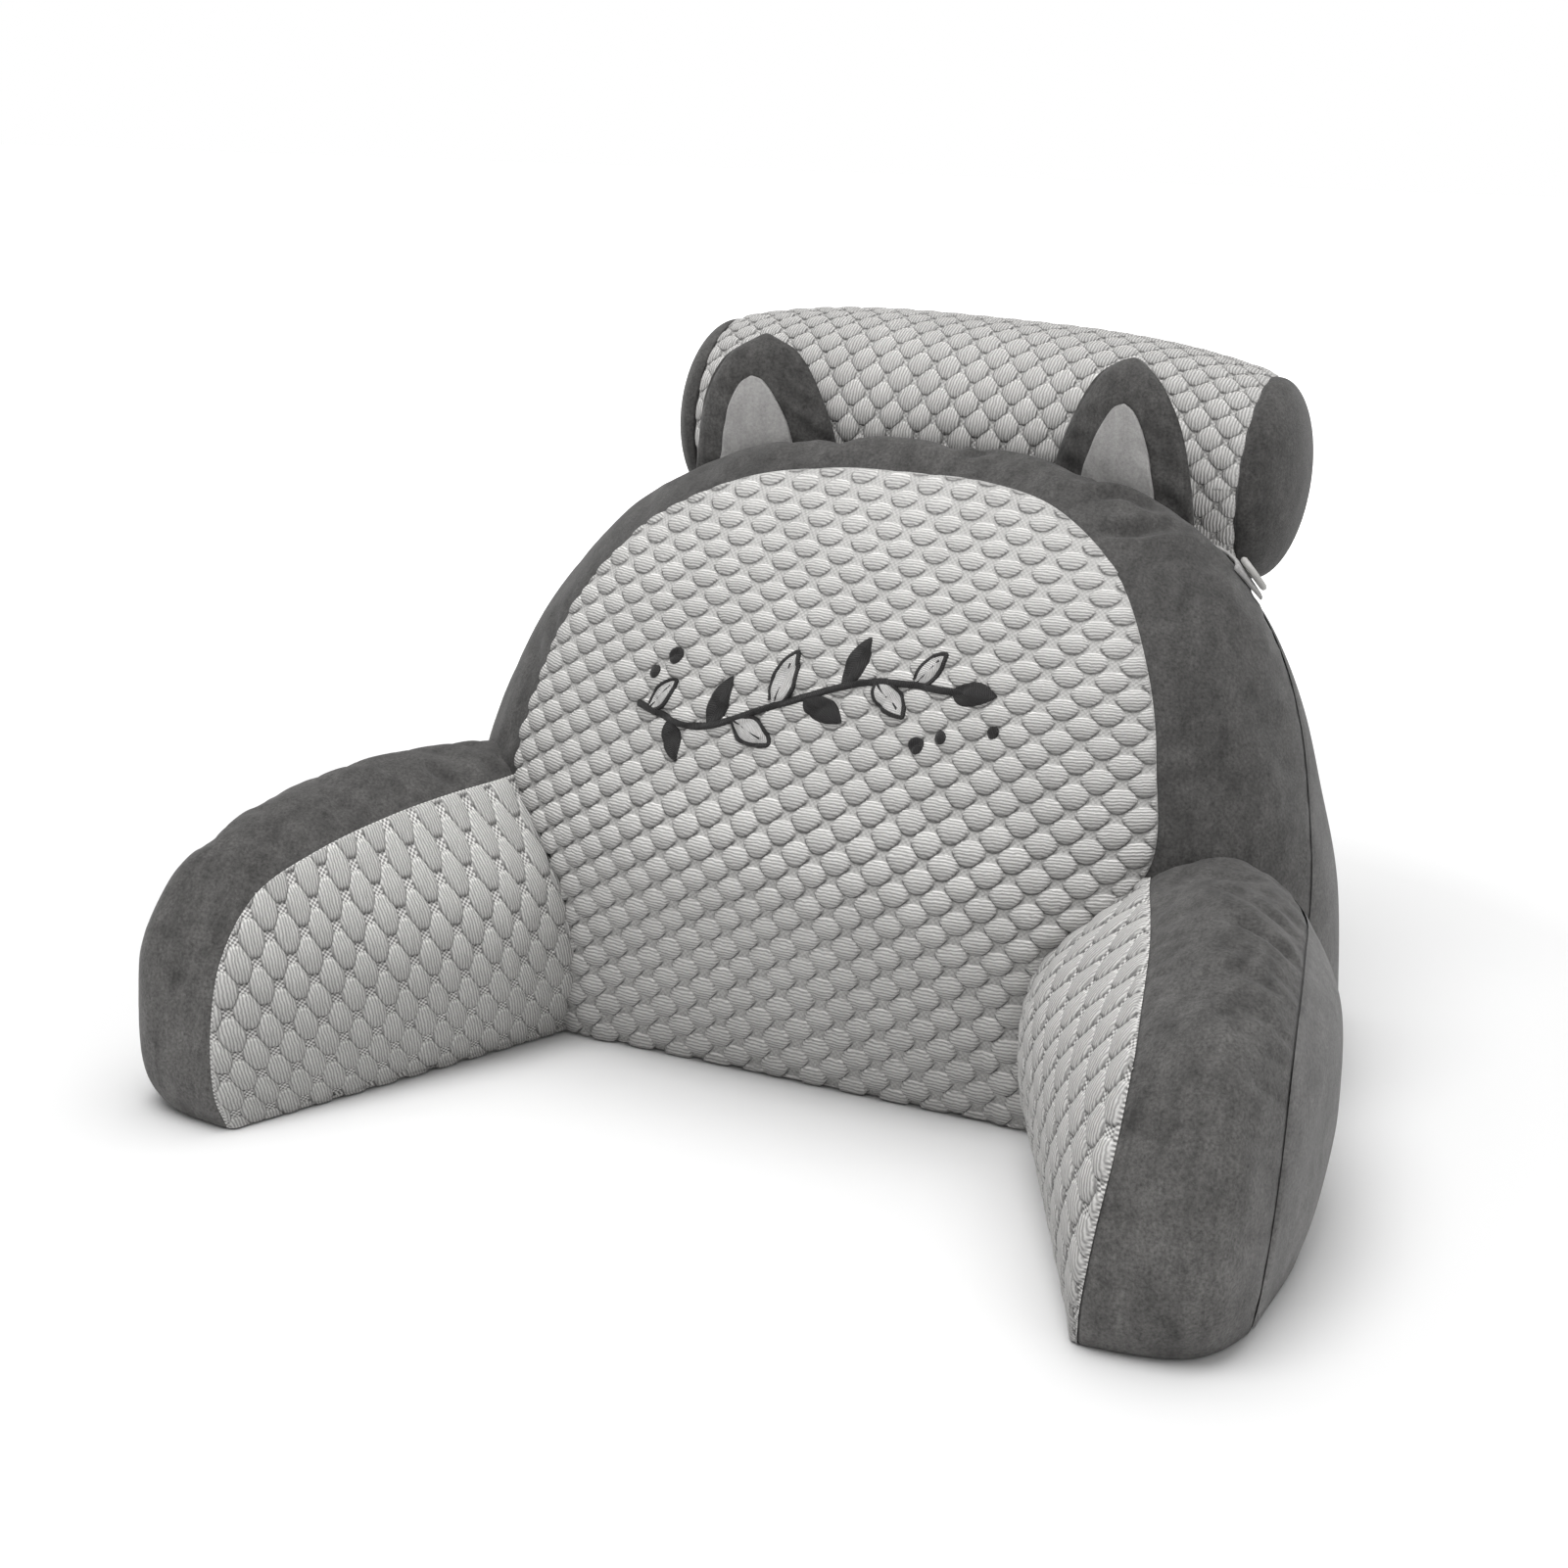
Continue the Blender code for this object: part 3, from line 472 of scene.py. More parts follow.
# backrest
backrest = {
    # right half, from the floor to the top centre: front seam, fullest point of the gusset, rear edge
    "ribs": drawn((
        ((0.134, 0.020, 0.000), (0.244, 0.090, 0.000), (0.212, 0.262, 0.000)),
        ((0.134, 0.013, 0.018), (0.253, 0.088, 0.018), (0.222, 0.266, 0.018)),
        ((0.130, 0.005, 0.060), (0.253, 0.086, 0.060), (0.224, 0.250, 0.060)),
        ((0.143, 0.005, 0.108), (0.250, 0.090, 0.110), (0.223, 0.234, 0.112)),
        ((0.183, 0.029, 0.144), (0.241, 0.102, 0.158), (0.217, 0.218, 0.160)),
        ((0.179, 0.048, 0.195), (0.225, 0.124, 0.206), (0.205, 0.201, 0.206)),
        ((0.165, 0.067, 0.240), (0.200, 0.140, 0.251), (0.184, 0.185, 0.250)),
        ((0.137, 0.095, 0.280), (0.167, 0.151, 0.285), (0.156, 0.178, 0.283)),
        ((0.093, 0.123, 0.305), (0.110, 0.160, 0.3135), (0.105, 0.182, 0.308)),
        ((0.045, 0.142, 0.3125), (0.052, 0.166, 0.3235), (0.050, 0.186, 0.3155)),
        ((0.000, 0.145, 0.3135), (0.000, 0.167, 0.3260), (0.000, 0.187, 0.3170)))),
    "cornerRib": 7,           # where the sides turn into the top
    # how much of ribs 0 to 7 the gusset takes, before the rear panel
    "gussetShare": (0.48, 0.48, 0.49, 0.51, 0.56, 0.60, 0.72, 1.00),
    "leftFullness": 0.97,
    "frontCrown": 0.052, "frontOutward": (0, -0.97, 0.24), "frontSkew": 1.2,
    "rearCrown": 0.016, "rearOutward": (0, 0.95, 0.30), "rearSkew": 0.8,
}


def leftOf(ribs):
    left = ribs * (-1, 1, 1)
    left[:, 1, 0] *= backrest["leftFullness"]
    return left


def backSurfaces(columns, rows, steps, wrapSteps):
    ribs, corner = backrest["ribs"], backrest["cornerRib"]
    times = evenTimes(ribs[:, 0], 0, corner, rows)
    side = throughKeys(ribs, times)
    half = throughKeys(ribs, evenTimes(ribs[:, 0], corner, len(ribs) - 1, columns // 2))
    left = leftOf(side)
    top = np.concatenate([leftOf(half), half[-2::-1]])
    reach = np.interp(times, range(len(backrest["gussetShare"])), backrest["gussetShare"])[:, None]
    shares = np.linspace(0, 1, steps + 1)[None]
    u, v = np.linspace(0, 1, columns + 1)[:, None], np.linspace(0, 1, rows + 1)[None]

    def panel(which, name):
        low = mix(left[0, which], side[0, which], u)
        grid = patch(low, top[:, which], left[:, which], side[:, which])
        rise = np.sin(math.pi * np.clip(v, 0, 1) ** backrest[name + "Skew"])
        swell = (4 * u * (1 - u)) ** 0.8 * np.maximum(rise, 0) ** 0.85
        return grid + swell[..., None] * backrest[name + "Crown"] * np.array(backrest[name + "Outward"])

    def wrap(ribs):
        shares = reach + (1 - reach) * np.linspace(0, 1, wrapSteps + 1)[None, :-1]
        return acrossRibs(ribs, shares).transpose(1, 0, 2)

    rear = np.concatenate([wrap(left), panel(2, "rear"), wrap(side)[::-1]])
    return {"front": panel(0, "front"), "rear": rear, "right": acrossRibs(side, shares * reach),
            "left": acrossRibs(left, shares * reach), "top": acrossRibs(top, shares)}


def backFloor(s, wrapSteps):
    foot = s["rear"][:, 0]
    last = len(foot) - 1 - wrapSteps
    leftEdge = np.concatenate([s["left"][0], foot[1:wrapSteps + 1]])
    rightEdge = np.concatenate([s["right"][0], foot[-2:last - 1:-1]])
    return patch(s["front"][:, 0], foot[wrapSteps:last + 1], leftEdge, rightEdge)


def sunk(grid, normals, depthScale=1.0):
    # the stuffing's face below a panel, never below the floor
    u = np.linspace(0, 1, grid.shape[0])[:, None]
    v = np.linspace(0, 1, grid.shape[1])[None]
    fade = np.minimum(1, 5 * np.minimum(np.minimum(u, 1 - u), np.minimum(v, 1 - v)))
    depth = pillow["clear"] + mix(pillow["rim"], pillow["under"], fade) * depthScale
    moved = grid - normals * depth[..., None]
    moved[..., 2] = np.where(grid[..., 2] > 1e-6, np.maximum(moved[..., 2], 0), 0)
    return moved


def bandTo(band, first, second):
    band = band.copy()
    band[:, 0], band[:, -1] = first, second
    return band


stuffing = {
    "pressure": 4.0,
    "slack": -0.025,          # the velour is cut this much larger than the form it covers
    "frames": 20, "quality": 6, "bending": 0.6,
    "mostMove": 0.006,        # no point moves further than this
}


def heldPoints(piece, index, grids, whole):
    # 1 for points that stay: the first grids as a whole, and the seams of the bands after them,
    # of which the first two also start at a held end
    held = np.zeros(len(piece.data.vertices))
    counts = np.cumsum([0] + [grid.shape[0] * grid.shape[1] for grid in grids])
    held[index[:counts[whole]]] = 1.0
    for k in range(whole, len(grids)):
        numbers = index[counts[k]:counts[k + 1]].reshape(grids[k].shape[:2])
        held[numbers[:, 0]] = held[numbers[:, -1]] = 1.0
        if k < whole + 2:
            held[numbers[0]] = 1.0
    return held


def stuffed(piece, held, s=stuffing):
    start = vertexData(piece.data)
    group = piece.vertex_groups.new(name="held")
    for number in np.nonzero(held > 0.01)[0].tolist():
        group.add([number], float(held[number]), "REPLACE")
    cloth = piece.modifiers.new("stuffing", "CLOTH")
    cloth.settings.use_pressure = True
    cloth.settings.uniform_pressure_force = s["pressure"]
    cloth.settings.effector_weights.gravity = 0
    cloth.settings.vertex_group_mass = "held"
    cloth.settings.shrink_min = s["slack"]
    cloth.settings.quality = s["quality"]
    cloth.settings.bending_stiffness = s["bending"]
    cloth.collision_settings.use_collision = False
    cloth.point_cache.frame_start = 1
    cloth.point_cache.frame_end = s["frames"]
    scene = bpy.context.scene
    for number in range(1, s["frames"] + 1):
        scene.frame_set(number)
    ready = piece.evaluated_get(bpy.context.evaluated_depsgraph_get())
    move = vertexData(ready.data) - start
    far = np.linalg.norm(move, axis=1, keepdims=True)
    move *= np.minimum(1, s["mostMove"] / np.maximum(far, 1e-9))
    piece.modifiers.remove(cloth)
    piece.vertex_groups.clear()
    scene.frame_set(1)
    ended = start + move
    ended[:, 2] = np.where(start[:, 2] < 1e-5, 0, np.maximum(ended[:, 2], 0))
    setPoints(piece, ended)
    print("pillow: stuffed", piece.name, "mean move mm", round(float(far.mean()) * 1000, 2))
    return piece


gathers = {
    "depth": 0.0009, "reach": 0.014, "periods": (0.009, 0.014, 0.023), "bunches": 0.09, "from": 0.005,
    "uneven": 0.0012, "unevenLength": 0.08, "unevenFrom": 0.03, "calmEnd": 0.012,
}


def puckered(band, seed, g=gathers):
    # small gathers that run in from both seams of a band, and a soft unevenness between them
    across = runLengths(band, 1)
    back = across[:, -1:] - across
    along = runLengths(band[:, band.shape[1] // 2][:, None], 0)
    rng = np.random.default_rng(seed)

    def ripples():
        turns = 2 * math.pi * along
        return sum(np.sin(turns / period + rng.uniform(0, 6.3)) for period in g["periods"]) / 2

    wave = ripples()
    wave = wave * (0.6 + 0.4 * np.sin(along * 2 * math.pi / g["bunches"] + rng.uniform(0, 6.3)))
    other = ripples()
    first = np.exp(-across / g["reach"]) * np.minimum(1, across / g["from"])
    second = np.exp(-back / g["reach"]) * np.minimum(1, back / g["from"])
    edge = np.minimum(across, back)
    move = g["depth"] * (wave * first + other * second)
    move += g["uneven"] * roughly(band, g["unevenLength"], seed) * smooth(0, g["unevenFrom"], edge)
    ends = np.minimum(along, along[-1:] - along)
    return band + gridNormals(band) * (move * smooth(0.0, g["calmEnd"], ends))[..., None]


creases = {
    # (points of a crease, depth, width), from the photograph's folds in the velour
    "back": (
        (((0.118, 0.036, 0.295), (0.138, 0.048, 0.294), (0.156, 0.075, 0.292)), 0.0052, 0.0046),
        (((0.108, 0.061, 0.309), (0.122, 0.069, 0.307), (0.139, 0.067, 0.299)), 0.0042, 0.0044),
        (((0.025, 0.078, 0.323), (0.029, 0.080, 0.324), (0.034, 0.086, 0.324)), 0.0030, 0.0034),
        (((-0.062, 0.070, 0.319), (-0.070, 0.080, 0.318), (-0.074, 0.092, 0.316)), 0.0014, 0.0034)),
    "armLeft": (
        (((-0.221, -0.088, 0.151), (-0.209, -0.087, 0.147), (-0.198, -0.086, 0.141)), 0.0022, 0.0034),
        (((-0.211, -0.036, 0.152), (-0.197, -0.046, 0.148), (-0.184, -0.053, 0.143)), 0.0022, 0.0034),
        (((-0.209, -0.047, 0.151), (-0.196, -0.059, 0.146), (-0.187, -0.065, 0.142)), 0.0020, 0.0032)),
    "armRight": (
        (((0.224, -0.077, 0.152), (0.247, -0.093, 0.151), (0.267, -0.099, 0.143)), 0.0024, 0.0045),
        (((0.226, -0.109, 0.150), (0.251, -0.121, 0.151), (0.275, -0.126, 0.138)), 0.0026, 0.0045),
        (((0.238, -0.140, 0.144), (0.256, -0.148, 0.145), (0.272, -0.152, 0.136)), 0.0014, 0.0040),
        (((0.235, -0.239, 0.096), (0.248, -0.244, 0.096), (0.261, -0.247, 0.094)), 0.0014, 0.0050)),
}


def creased(piece, lines):
    points, normals = vertexData(piece.data), vertexData(piece.data, "normal")
    for keys, depth, width in lines:
        path = evenCurve(keys, 40)
        low, high = path.min(0) - 4 * width, path.max(0) + 4 * width
        near = np.nonzero(((points > low) & (points < high)).all(1))[0]
        far = np.linalg.norm(points[near, None] - path[None], axis=-1)
        where = np.sin(math.pi * (far.argmin(1) + 0.5) / 41) ** 0.6
        far = far.min(1)
        shape = np.exp(-(far / width) ** 2) - 0.40 * np.exp(-((far - 2 * width) / width) ** 2)
        points[near] -= normals[near] * (depth * shape * where)[:, None]
    points[:, 2] = np.maximum(points[:, 2], 0)
    setPoints(piece, points)
    return piece


gusset = {"columns": 60, "rows": 62, "steps": 28, "wrapSteps": 8}


def makeBackCushion():
    g = gusset
    s = backSurfaces(g["columns"], g["rows"], g["steps"], g["wrapSteps"])
    front = sunk(s["front"], gridNormals(s["front"]))
    rear = sunk(s["rear"], gridNormals(s["rear"], True))
    w = g["wrapSteps"]
    core = {"front": front, "rear": rear, "right": bandTo(puckered(s["right"], 41), front[-1], rear[-1]),
            "left": bandTo(puckered(s["left"], 42), front[0], rear[0]),
            "top": bandTo(puckered(s["top"], 43), front[:, -1], rear[w:len(rear) - w, -1])}
    grids = [core["front"], core["rear"], backFloor(core, w), core["right"], core["left"], core["top"]]
    piece, index = meshObject("backCushion", grids, darkVelour, closed=True)
    stuffed(piece, heldPoints(piece, index, grids, 3))
    return piece, s


def backOutside(s):
    # the backrest's whole outside, for the arms and ears to end on
    grids = [s["front"], s["rear"], backFloor(s, gusset["wrapSteps"]), s["right"], s["left"], s["top"]]
    piece, _ = meshObject("backOutside", grids, darkVelour, closed=True)
    mesh = bmesh.new()
    mesh.from_mesh(piece.data)
    bmesh.ops.triangulate(mesh, faces=mesh.faces)
    tree = BVHTree.FromBMesh(mesh)
    mesh.free()
    bpy.data.objects.remove(piece, do_unlink=True)
    return tree


def outsideDistance(points):
    # signed distance of points to the backrest's outside; below 0 is inside it
    flat = points.reshape(-1, 3)
    signed = np.empty(len(flat))
    for k, point in enumerate(flat.tolist()):
        spot, normal, _, far = backTree.find_nearest(point)
        signed[k] = far if (Vector(point) - spot).dot(normal) > 0 else -far
    return signed.reshape(points.shape[:-1])


def trimmedGrid(grid, clear):
    # each line of the grid starts where it comes out of the backrest, and is spaced evenly again
    signed = outsideDistance(grid)
    count = grid.shape[0]
    out = np.empty_like(grid)
    for j in range(grid.shape[1]):
        inside = np.nonzero(signed[:, j] < clear)[0]
        start = 0.0
        if len(inside):
            i = min(inside[-1], count - 2)
            a, b = signed[i, j] - clear, signed[i + 1, j] - clear
            start = i + a / (a - b) if b > a else i
        line = grid[:, j]
        steps = np.concatenate([[0], np.cumsum(np.linalg.norm(np.diff(line, axis=0), axis=1))])
        goal = np.linspace(np.interp(start, np.arange(count), steps), steps[-1], count)
        out[:, j] = np.stack([np.interp(goal, steps, line[:, k]) for k in range(3)], -1)
    return out


backCushion, backGrids = makeBackCushion()
backTree = backOutside(backGrids)
finished(creased(subdivided(backCushion), creases["back"]), "back_cushion")
print("pillow: backrest cushion ready")

plainPuffs = {"taperFoot": 0.0, "fullest": 0.60, "bow": 0.0, "ribs": "upright", "slant": 0.0,
              "flatter": (0, 1, 1.0)}

frontQuilt = {
    "columns": 330, "rows": 288,
    "pitchAcross": 22.2, "pitchUp": 18.6, "puffAcross": 16.8, "puffUp": 14.2,
    "taperTop": 0.34, "taperFoot": 0.46, "square": 4.0, "fullest": 0.66, "bow": 0.3, "ribs": "level",
    "slant": 0.04, "lowHead": 0.10,
    "headLitTone": 1.24, "footShadedTone": 0.70,               # painted light and shade: a puff is drawn lighter at its head and darker at its foot
    "gapTone": 0.93, "gapHoles": 0.76, "uneven": 0.5,
    "flatter": (210, 380, 0.70),                      # from and to how far up, and a puff's height left
    "shadowLineFrom": 0.10, "shadowLineTones": (0.24, 0.66),      # the painted shadow line under a puff: where it starts, and its tone low down and high up
    "relief": 0.0036, "sunkBy": 0.0010, "phaseAcross": 3.0, "phaseUp": 4.0,
    # how the cloth lies on the bulging panel, from x and z in millimetres: the rows of puffs tilt
    # a little, the columns lean near the floor, and the cloth climbs faster where the panel leans back
    "stretch": 0.946, "spread": 0.00044, "lean": -0.284, "leanChange": 0.00069,
    "climb": 0.828, "climbChange": 0.00097, "tilt": 0.071,
    "reach": 0.015, "reachUp": (0.140, 0.095), "reachFrom": 0.80,    # beside the arms' roots
    "onGusset": 0.0014, "reachLift": 0.0008,
    "reliefLowHigh": (0.90, 0.38), "reliefUp": (0.10, 0.32),         # the relief's share, low and high
}
frontKnit = makeKnit("knitFront", frontQuilt)


def seamDip(distance, depth, width=0.004):
    return depth * np.exp(-(distance / width) ** 2)


def raised(grid, normals, lift):
    # the grid's points lifted along its normals, but never into the floor
    points = grid + normals * lift[..., None]
    points[..., 2] = np.maximum(points[..., 2], pillow["floorGap"])
    return points


def makeFrontPanel():
    q = frontQuilt
    grid = backSurfaces(q["columns"], q["rows"], 2, 1)["front"]
    # beside the arms' roots the knit goes on over the gusset, as far as the crease
    u = np.linspace(-1, 1, q["columns"] + 1)[:, None]
    reach = q["reach"] * smooth(*q["reachUp"], grid[..., 2]) * smooth(q["reachFrom"], 1.0, np.abs(u))
    grid = grid + reach[..., None] * np.stack([np.sign(u), 0.37 + 0 * u, 0 * u], -1)
    for i, j in np.argwhere(reach > 0.0015).tolist():
        spot, outward, _, _ = backTree.find_nearest(grid[i, j].tolist())
        grid[i, j] = spot + outward * min(q["onGusset"], reach[i, j] / 4)
    normals = gridNormals(grid)
    x, z = grid[..., 0] * 1000, grid[..., 2] * 1000
    across = x * q["stretch"] + z * (q["lean"] + z * q["leanChange"]) + x * z * q["spread"]
    up = z * (q["climb"] + z * q["climbChange"]) + x * q["tilt"]
    distance = edgeDistance(grid, "lrt")
    calm = smooth(*knit["seamCalm"], distance)
    height, cloth = knitFields(grid, across + q["phaseAcross"], up + q["phaseUp"], calm, q)
    left = mix(*q["reliefLowHigh"], smooth(*q["reliefUp"], grid[..., 2]))
    lift = height * q["relief"] * left - q["sunkBy"] * calm
    lift -= seamDip(distance, *knit["seam"]) * (1 - reach / q["reach"])
    lift += q["reachLift"] * reach / q["reach"]
    points = raised(grid, normals, lift)
    piece, _ = meshObject("backFrontPanel", [points], frontKnit, {"cloth": [cloth]})
    return piece


frontPanel = makeFrontPanel()
finished(frontPanel, "back_front_panel")
print("pillow: front panel ready")


# embroidery on the front panel: a leafy sprig with berries
sprig = {
    # (x, z)
    "stem": ((-0.100, 0.197), (-0.062, 0.190), (-0.018, 0.206), (0.030, 0.222), (0.082, 0.222)),
    # (place on the stem, angle from it in degrees, length, dark or pale)
    "leaves": ((0.05, 62, 0.019, "pale"), (0.12, -58, 0.022, "dark"), (0.25, 52, 0.026, "dark"),
               (0.33, -50, 0.025, "pale"), (0.45, 50, 0.027, "pale"), (0.54, -48, 0.026, "dark"),
               (0.66, 48, 0.025, "dark"), (0.75, -50, 0.023, "pale"), (0.86, 46, 0.020, "pale"),
               (0.97, -4, 0.024, "dark")),
    "berries": ((-0.084, 0.222, 0.0040), (-0.094, 0.213, 0.0030), (0.062, 0.196, 0.0042),
                (0.074, 0.201, 0.0032), (0.100, 0.206, 0.0030)),
    "leafWidth": 0.48, "stemWidth": 0.0036, "outline": 0.0024,
    "raised": 0.0003, "dome": 0.0011, "edgeUnder": 0.0004, "stitch": 0.9,
    "thread": {"dark": (0.030, 0.029, 0.029), "pale": (0.560, 0.552, 0.545)},
}


def makeThread(name, colour):
    n = Nodes(name)
    place = n.add("ShaderNodeAttribute", output=2, attribute_name="stitch")
    cloud = n.noise(n.place(), 500.0, 2.0, 0.5)
    strand = n.waves(n.plus(place, n.ramp(cloud, 0.2, 0.8, -0.15, 0.15)), sprig["stitch"])
    tone = n.times(n.ramp(strand, 0.0, 0.7, 0.62, 1.12), n.ramp(cloud, 0.3, 0.7, 0.90, 1.10))
    n.bump(strand, 0.8, 0.0004)
    return n.finish(n.tint(colour, tone), n.ramp(cloud, 0.3, 0.7, 0.42, 0.55), 0.10, 0.3)


def makeSprig():
    q = sprig
    mesh = bmesh.new()
    mesh.from_mesh(frontPanel.data)
    tree = BVHTree.FromBMesh(mesh)
    mesh.free()
    pieces = {"dark": ([], []), "pale": ([], [])}

    def domed(share):
        # thread height at a share of the way to the middle; the edges go just under the cloth
        return q["raised"] + q["dome"] * share - q["edgeUnder"] * (share < 0.01)

    def laid(kind, flat, lift, stitch):
        # puts a grid of (x, z) places on the quilting; the threads bridge the hollows between puffs
        grid = np.empty(flat.shape[:2] + (3,))
        for i, j in np.ndindex(flat.shape[:2]):
            x, z = flat[i, j].tolist()
            grid[i, j] = tree.ray_cast(Vector((x, -0.5, z)), Vector((0, 1, 0)))[0]
        deep = grid[..., 1].copy()
        for _ in range(8):
            wide = np.pad(deep, 1, "edge")
            deep = (wide[:-2, 1:-1] + wide[2:, 1:-1] + wide[1:-1, :-2] + wide[1:-1, 2:] + 2 * deep) / 6
        grid[..., 1] = np.minimum(grid[..., 1], deep)
        grid += lift[..., None] * np.array((0, -0.92, 0.39))
        pieces[kind][0].append(grid)
        pieces[kind][1].append(stitch)

    def stroke(kind, path, width, stitchSlope=0.5):
        ahead = np.gradient(path, axis=0)
        ahead /= np.linalg.norm(ahead, axis=1, keepdims=True)
        sideways = np.stack([-ahead[:, 1], ahead[:, 0]], -1)
        t = np.linspace(-1, 1, 7)[None, :, None]
        flat = path[:, None] + sideways[:, None] * t * width / 2
        run = runLengths(path[:, None], 0)
        swell = np.sqrt(np.maximum(1 - t[..., 0] ** 2, 0)) + 0 * run
        laid(kind, flat, domed(swell), (run + stitchSlope * t[..., 0] * width / 2) * 1000)

    def leaf(kind, root, direction, length):
        along = np.linspace(0, 1, 30)
        t = np.linspace(-1, 1, 13)
        sideways = np.array((-direction[1], direction[0]))
        half = length * q["leafWidth"] / 2 * np.sin(math.pi * along ** 0.85) ** 0.75
        bend = 0.10 * length * np.sin(math.pi * along / 2) ** 2
        line = root + direction * along[:, None] * length + sideways * bend[:, None]
        flat = line[:, None] + sideways * (half[:, None] * t[None])[..., None]
        swell = np.sqrt(np.maximum(1 - t[None] ** 2, 0)) * np.sqrt(half / half.max())[:, None]
        place = along[:, None] * length + np.abs(half[:, None] * t[None]) * 0.6
        laid(kind, flat, domed(swell), place * 1000)
        if kind == "pale":
            edge = np.concatenate([flat[:, 0], flat[::-1, -1]])
            stroke("dark", evenCurve(edge[::3], 90), q["outline"])
            stroke("dark", evenCurve(line[2:24:3], 40), q["outline"] * 0.7)

    stem = evenCurve(q["stem"], 140)
    stroke("dark", stem, q["stemWidth"])
    for share, degrees, length, kind in q["leaves"]:
        k = int(share * 139)
        ahead = (stem[k + 1] - stem[k - 1]) / np.linalg.norm(stem[k + 1] - stem[k - 1])
        c, s = math.cos(math.radians(degrees)), math.sin(math.radians(degrees))
        leaf(kind, stem[k], np.array(((c, -s), (s, c))) @ ahead, length)
    for x, z, radius in q["berries"]:
        turn = np.linspace(0, 2 * math.pi, 41)[:, None]
        share = np.linspace(1, 0, 8)[None]
        flat = np.stack([x + radius * share * np.cos(turn), z + radius * share * np.sin(turn)], -1)
        lift = q["raised"] + 1.2 * q["dome"] * np.sqrt(np.maximum(1 - share ** 2, 0)) + 0 * turn
        laid("dark", flat, lift, flat[..., 0] * 1000)
    for kind, (grids, stitches) in pieces.items():
        thread = makeThread("thread" + kind.title(), q["thread"][kind])
        piece, _ = meshObject("sprig" + kind.title(), grids, thread, {"stitch": stitches})
        finished(piece, None)


makeSprig()
print("pillow: embroidery ready")


velourPanels = {
    # a soft unevenness: height, length, seed, distance from the edge where it is full
    "rear": (0.0008, 0.10, 5, 0.03), "outer": (0.0009, 0.07, 8, 0.02),
    "seam": (0.0007, 0.0020),       # depth and width of the drawn-in edge
    "rearSteps": (130, 120, 2, 40), "outerSteps": (150, 90, 2),
}


def makeVelourPanel(name, kind, grid, edges, flip):
    height, length, seed, full = velourPanels[kind]
    distance = edgeDistance(grid, edges)
    lift = height * roughly(grid, length, seed) * smooth(0, full, distance)
    lift -= seamDip(distance, *velourPanels["seam"])
    points = raised(grid, gridNormals(grid, flip), lift)
    return meshObject(name, [points], sideVelour, flip=flip)[0]


rearGrid = backSurfaces(*velourPanels["rearSteps"])["rear"]
rearPanel = makeVelourPanel("backRearPanel", "rear", rearGrid, "lrt", True)
finished(rearPanel, "back_rear_panel")
print("pillow: rear panel ready")

# arms
arm = {
    # right arm, from its root over the top and down the front: inner seam, fullest point, outer seam
    "ribs": drawn((
        ((0.177, 0.060, 0.146), (0.213, 0.065, 0.150), (0.245, 0.072, 0.132)),
        ((0.186, 0.022, 0.143), (0.230, 0.018, 0.153), (0.266, 0.020, 0.138)),
        ((0.198, -0.014, 0.141), (0.242, -0.026, 0.153), (0.278, -0.030, 0.137)),
        ((0.210, -0.052, 0.137), (0.251, -0.058, 0.150), (0.285, -0.062, 0.132)),
        ((0.222, -0.098, 0.129), (0.262, -0.098, 0.142), (0.291, -0.092, 0.123)),
        ((0.232, -0.139, 0.115), (0.272, -0.137, 0.127), (0.295, -0.113, 0.105)),
        ((0.235, -0.165, 0.088), (0.281, -0.162, 0.094), (0.2965, -0.124, 0.078)),
        ((0.2325, -0.179, 0.055), (0.283, -0.169, 0.057), (0.2960, -0.129, 0.048)),
        ((0.229, -0.183, 0.022), (0.280, -0.171, 0.023), (0.2940, -0.131, 0.019)),
        ((0.226, -0.176, 0.000), (0.273, -0.165, 0.000), (0.2905, -0.128, 0.000)))),
    "cornerRib": 5,           # where the top turns into the front
    "rootInner": drawn(((0.133, 0.050, 0.000), (0.121, 0.040, 0.050), (0.129, 0.042, 0.100),
                        (0.177, 0.060, 0.146))),
    "rootOuter": drawn(((0.250, 0.078, 0.000), (0.262, 0.070, 0.045), (0.264, 0.068, 0.095),
                        (0.245, 0.072, 0.132))),
    "footInner": drawn(((0.133, 0.050, 0.000), (0.147, 0.019, 0.000), (0.190, -0.087, 0.000),
                        (0.226, -0.176, 0.000))),
    "footOuter": drawn(((0.250, 0.078, 0.000), (0.276, 0.028, 0.000), (0.290, -0.055, 0.000),
                        (0.2905, -0.128, 0.000))),
    "innerCrown": 0.014, "innerOutward": (-0.93, -0.37, 0.0),
    "outerCrown": 0.004, "outerOutward": (1.0, 0.0, 0.0),
    "columns": 60, "rows": 34, "steps": 24,
}


